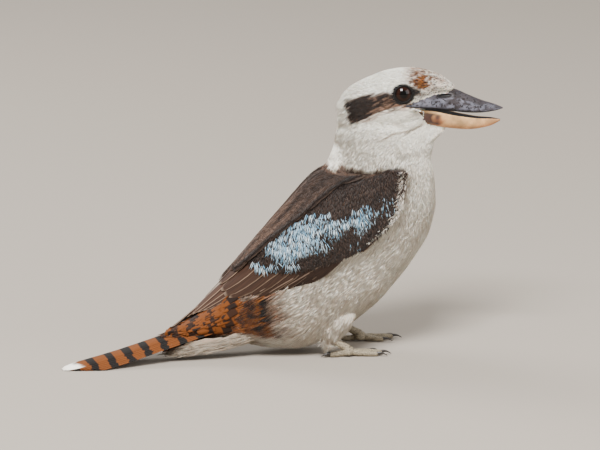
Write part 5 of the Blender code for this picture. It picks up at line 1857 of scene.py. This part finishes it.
def lower_marks(ring, x, edge, rise, half):
    """A slate patch at the base, a flush in front of it, a browner keel, and painted shade inside the
    mouth.
    """
    height = np.clip((ring[:, 2] - edge) / rise, 0, 1)
    wander = waves(ring, 5.0, 32)
    flush = soft(130 - x + 3 * wander, 4) * soft(height - 0.25, 0.15) * 0.85
    keel = soft(height - 0.7, 0.2) * 0.5 + soft(x - 162, 10) * 0.35
    patch = soft(127 - x + 2.0 * wander, 3) * soft(height - 0.13, 0.05) * soft(0.86 - height, 0.12)
    # Painted shade: the inside of the lower half, seen in the mouth's gap, turns dark.
    inside = soft(0.93 - np.abs(ring[:, 1]) / half, 0.04) * soft(0.2 - height, 0.05) * soft(x - 115, 2)
    pores = soft(height - 0.3, 0.2) * np.interp(x, [110, 140, 174], [0.2, 0.7, 0.6])
    return abreast(np.maximum(flush, keel), np.maximum(patch * 0.9, inside), pores)


bill_upper = bill_half("bill_upper_horn", UPPER_BILL, slate_horn, upper_marks)
bill_lower = bill_half("bill_lower_horn", LOWER_BILL, ivory_horn, lower_marks)
print("bill:", len(bill_upper.data.polygons), "faces a half")

# %% [markdown]
# ## Eyes and lids
#
# The eye is wet: a clear cornea over a brown iris. It is made as one ball with the iris and
# pupil painted by how far each point lies from its axis, under a clear coat that gives the
# sharp highlight. A thin dark lid rims it.

# %% Eyes
IRIS, PUPIL, LID_SKIN = "#200D06", "#020101", "#080605"
PUPIL_RADIUS, IRIS_RADIUS = 3.3, 6.6  # mm
EYE_SIDES, LID_SIDES, LID_HALF = 48, 10, (0.6, 0.38)

eye_finish, tree = new_material(
    "wet_eye", Roughness=0.5, Specular_IOR_Level=0.0, Coat_Weight=0.8, Coat_Roughness=0.02, Coat_IOR=1.38
)
lead_colour(tree, mixed(tree, marks_of(tree)[0], IRIS, PUPIL))
lid_finish, _ = new_material(
    "bare_lid_skin", Base_Color=paint(LID_SKIN), Roughness=0.6, Specular_IOR_Level=0.25
)


def eye_ball(side, word):
    """The ball with its cornea, painted dark at the pupil and round the iris."""
    outward, forward, up = eye_axes(side)
    centre = EYE * (1, side, 1)
    turns = ring_turns(EYE_SIDES)
    rings, dark = [], []
    for angle in np.radians(np.linspace(3, 177, 60)):
        reach = EYE_RADIUS * math.sin(angle)
        in_front = angle < math.pi / 2
        bulge = 0.35 * max(0.0, 1 - (reach / 6.0) ** 2) if in_front else 0.0
        ring = centre + outward * (EYE_RADIUS * math.cos(angle) + bulge)
        ring = ring + reach * (np.outer(np.cos(turns), forward) + np.outer(np.sin(turns), up))
        rings.append(turned(ring))
        shade = max(float(soft(PUPIL_RADIUS - reach, 0.25)), float(soft(reach - IRIS_RADIUS + 0.9, 0.5)))
        dark.append(shade if in_front else 1.0)
    ball = new_piece(f"eye_{word}_ball", *loft_mesh(rings), eye_finish)
    values = np.concatenate([np.repeat(dark, EYE_SIDES), [dark[0], dark[-1]]])
    mark_points(ball.data, abreast(values, 0, 0), values * 0)
    return ball


def lid_ring(side, word):
    """A thin dark fold round the opening, lying on the ball."""
    outward, forward, up = eye_axes(side)
    section = ring_turns(LID_SIDES)
    rings = []
    for turn in ring_turns(72):
        long, high = LID_OPENING[0] * math.cos(turn), LID_OPENING[1] * math.sin(turn)
        flat = forward * long + up * high
        depth = math.sqrt(EYE_RADIUS**2 - long**2 - high**2)
        middle = EYE * (1, side, 1) + outward * (depth + 0.35) + flat
        fold = np.outer(np.cos(section) * LID_HALF[0], unit(flat))
        rings.append(turned(middle + fold + np.outer(np.sin(section) * LID_HALF[1], outward)))
    faces = band_faces(len(rings), LID_SIDES, joined=True)
    return new_piece(f"lid_{word}", np.vstack(rings), faces, lid_finish)


eyes = {word: (eye_ball(side, word), lid_ring(side, word)) for side, word in SIDES}
print("eyes: radius", EYE_RADIUS, "mm")

# %% [markdown]
# ## Legs and feet
#
# A kingfisher's feet are small and weak for its size: a short shank with rough scales, two
# outer toes joined for much of their length, and dark claws. The scales are dry keratin
# over skin, dull and slightly dusty.

# %% Feet
HEEL, ANKLE = (35.0, 24.0, 14.0), (49.0, 24.0, 6.0)
TOES = [  # degrees outward from straight ahead, length, radius
    (-20.0, 20.0, 2.5), (2.0, 27.0, 2.8), (13.0, 24.0, 2.5), (172.0, 15.0, 2.6),
]
SCALE_SIZE = 1.3  # mm
SCALE_SEAM, SCALE_TOP, CLAW_HORN = "#4E4436", "#978B74", "#2B2622"
FOOT_VOXEL, FOOT_SMOOTHING = 0.42, 4

foot_finish, tree = new_material("dry_scaly_skin", Roughness=0.62, Specular_IOR_Level=0.45)
place = add_node(tree, "ShaderNodeTexCoord").outputs["Object"]
scales = add_node(
    tree, "ShaderNodeTexVoronoi", {"feature": "DISTANCE_TO_EDGE"},
    {"Vector": place, "Scale": 1000.0 / SCALE_SIZE},
)
seam = ranged(tree, scales.outputs["Distance"], 0.0, 0.16)
lead_colour(tree, mixed(tree, seam, SCALE_SEAM, SCALE_TOP))
lead_bump(tree, seam, 0.6, 0.0003)
claw_finish, _ = new_material("dark_claw_horn", Base_Color=paint(CLAW_HORN), Roughness=0.35)


def tube(path, radii, sides=20, flatten=1.0):
    """Rings along a path of points."""
    path = np.array(path, float)
    along = unit(np.gradient(path, axis=0))
    return [
        path_ring(point, way, np.cross(way, [0, 0.05, 1.0]), radius, radius * flatten, sides)
        for point, way, radius in zip(path, along, radii)
    ]


def toe_and_claw(ankle, side, turn, length, radius):
    """A toe with its joints, and the claw at its end."""
    angle = math.radians(turn)
    way = np.array([math.cos(angle), side * math.sin(angle), 0])
    reach = np.linspace(0, 1, 22)
    height = radius + np.interp(reach, [0, 0.3, 0.65, 1], [0.6, 0.3, -0.3, -0.4])
    path = ankle * (1, 1, 0) + way * (length * reach)[:, None] + np.array([0, 0, 1.0]) * height[:, None]
    joints = 1 + 0.07 * np.cos(reach * 3 * 2 * math.pi)
    radii = radius * np.interp(reach, [0, 0.85, 1], [1.0, 0.86, 0.6]) * joints
    bend = np.linspace(0, 1, 12)
    claw = path[-1] - way * 1.5 + way * (bend * 9.0)[:, None]
    claw[:, 2] = radius - 0.2 + 1.3 * np.sin(bend * math.pi * 0.9) - (radius - 0.7) * bend**1.5
    claw_points, claw_faces = loft_mesh(tube(claw, np.interp(bend, [0, 1], [1.5, 0.25]), 14))
    claw_points[:, 2] = np.maximum(claw_points[:, 2], FLOOR_GAP)
    return loft_mesh(tube(path, radii, 24)), (claw_points, claw_faces)


def make_leg(side, word):
    """Shank, foot and claws of one leg."""
    stride = np.array([LEG_STRIDE[side], 0, 0])
    heel, ankle = (np.array(place) * (1, side, 1) + stride for place in (HEEL, ANKLE))
    shares = np.linspace(0, 1, 16)
    path = heel + (ankle - heel) * shares[:, None]
    radii = np.interp(shares, [0, 0.5, 1], [3.5, 3.0, 3.4])
    shank = new_piece(f"shank_{word}_scales", *loft_mesh(tube(path, radii, 28)), foot_finish)
    toes, claws = zip(*(toe_and_claw(ankle, side, *toe) for toe in TOES))
    palm = loft_mesh(tube([ankle + (0, 0, up) for up in (1.5, -1.0, -3.0, -4.5)], [3.6, 4.8, 5.2, 4.6], 28))
    mesh = fused_mesh([*toes, palm], FOOT_VOXEL, FOOT_SMOOTHING)
    for vertex in mesh.vertices:
        vertex.co.z = max(vertex.co.z, FLOOR_GAP * MM)
    mesh.shade_smooth()
    mesh.materials.append(foot_finish)
    foot = add_object(f"foot_{word}_scales", mesh)
    return shank, foot, new_piece(f"claws_{word}", *join_forms(claws), claw_finish)


legs = {word: make_leg(side, word) for side, word in SIDES}
print("foot:", len(legs["left"][1].data.polygons), "faces")

# %% [markdown]
# ## Riding and replacing
#
# Every piece rides on the one still body. The first piece of each sub-part takes the place
# of its solid, and the others lie over it.

# %% Pieces and the solids that they replace
dressed = [(skin, "plumage_white", ["head", "neck", "torso", "thigh_left", "thigh_right"])]
dressed += [(piece, "plumage_white", []) for piece in pieces_of_coat]
for word, (first, *others) in wings.items():
    dressed += [(first, "plumage_brown", ["wing_" + word])]
    dressed += [(piece, "plumage_brown", []) for piece in others]
dressed += [(tail_feathers, "plumage_rufous", ["tail"]), (upper_coverts, "plumage_rufous", [])]
dressed += [(under_coverts, "plumage_white", []), (under_down, "plumage_white", [])]
dressed += [(bill_upper, "horn_dark", ["bill_upper"]), (bill_lower, "horn_pale", ["bill_lower"])]
for word, (ball, lid) in eyes.items():
    dressed += [(ball, "eye", ["eye_" + word]), (lid, "eye", [])]
for word, (shank, foot, nails) in legs.items():
    dressed += [(shank, "scaly_skin", ["shank_" + word]), (foot, "scaly_skin", ["foot_" + word])]
    dressed += [(nails, "scaly_skin", [])]
for piece, slot, nodes in dressed:
    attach(piece, "root")
    if nodes:
        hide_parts(*nodes)
print("pieces:", len(dressed), "with", sum(triangles(piece) for piece, _, _ in dressed), "triangles")
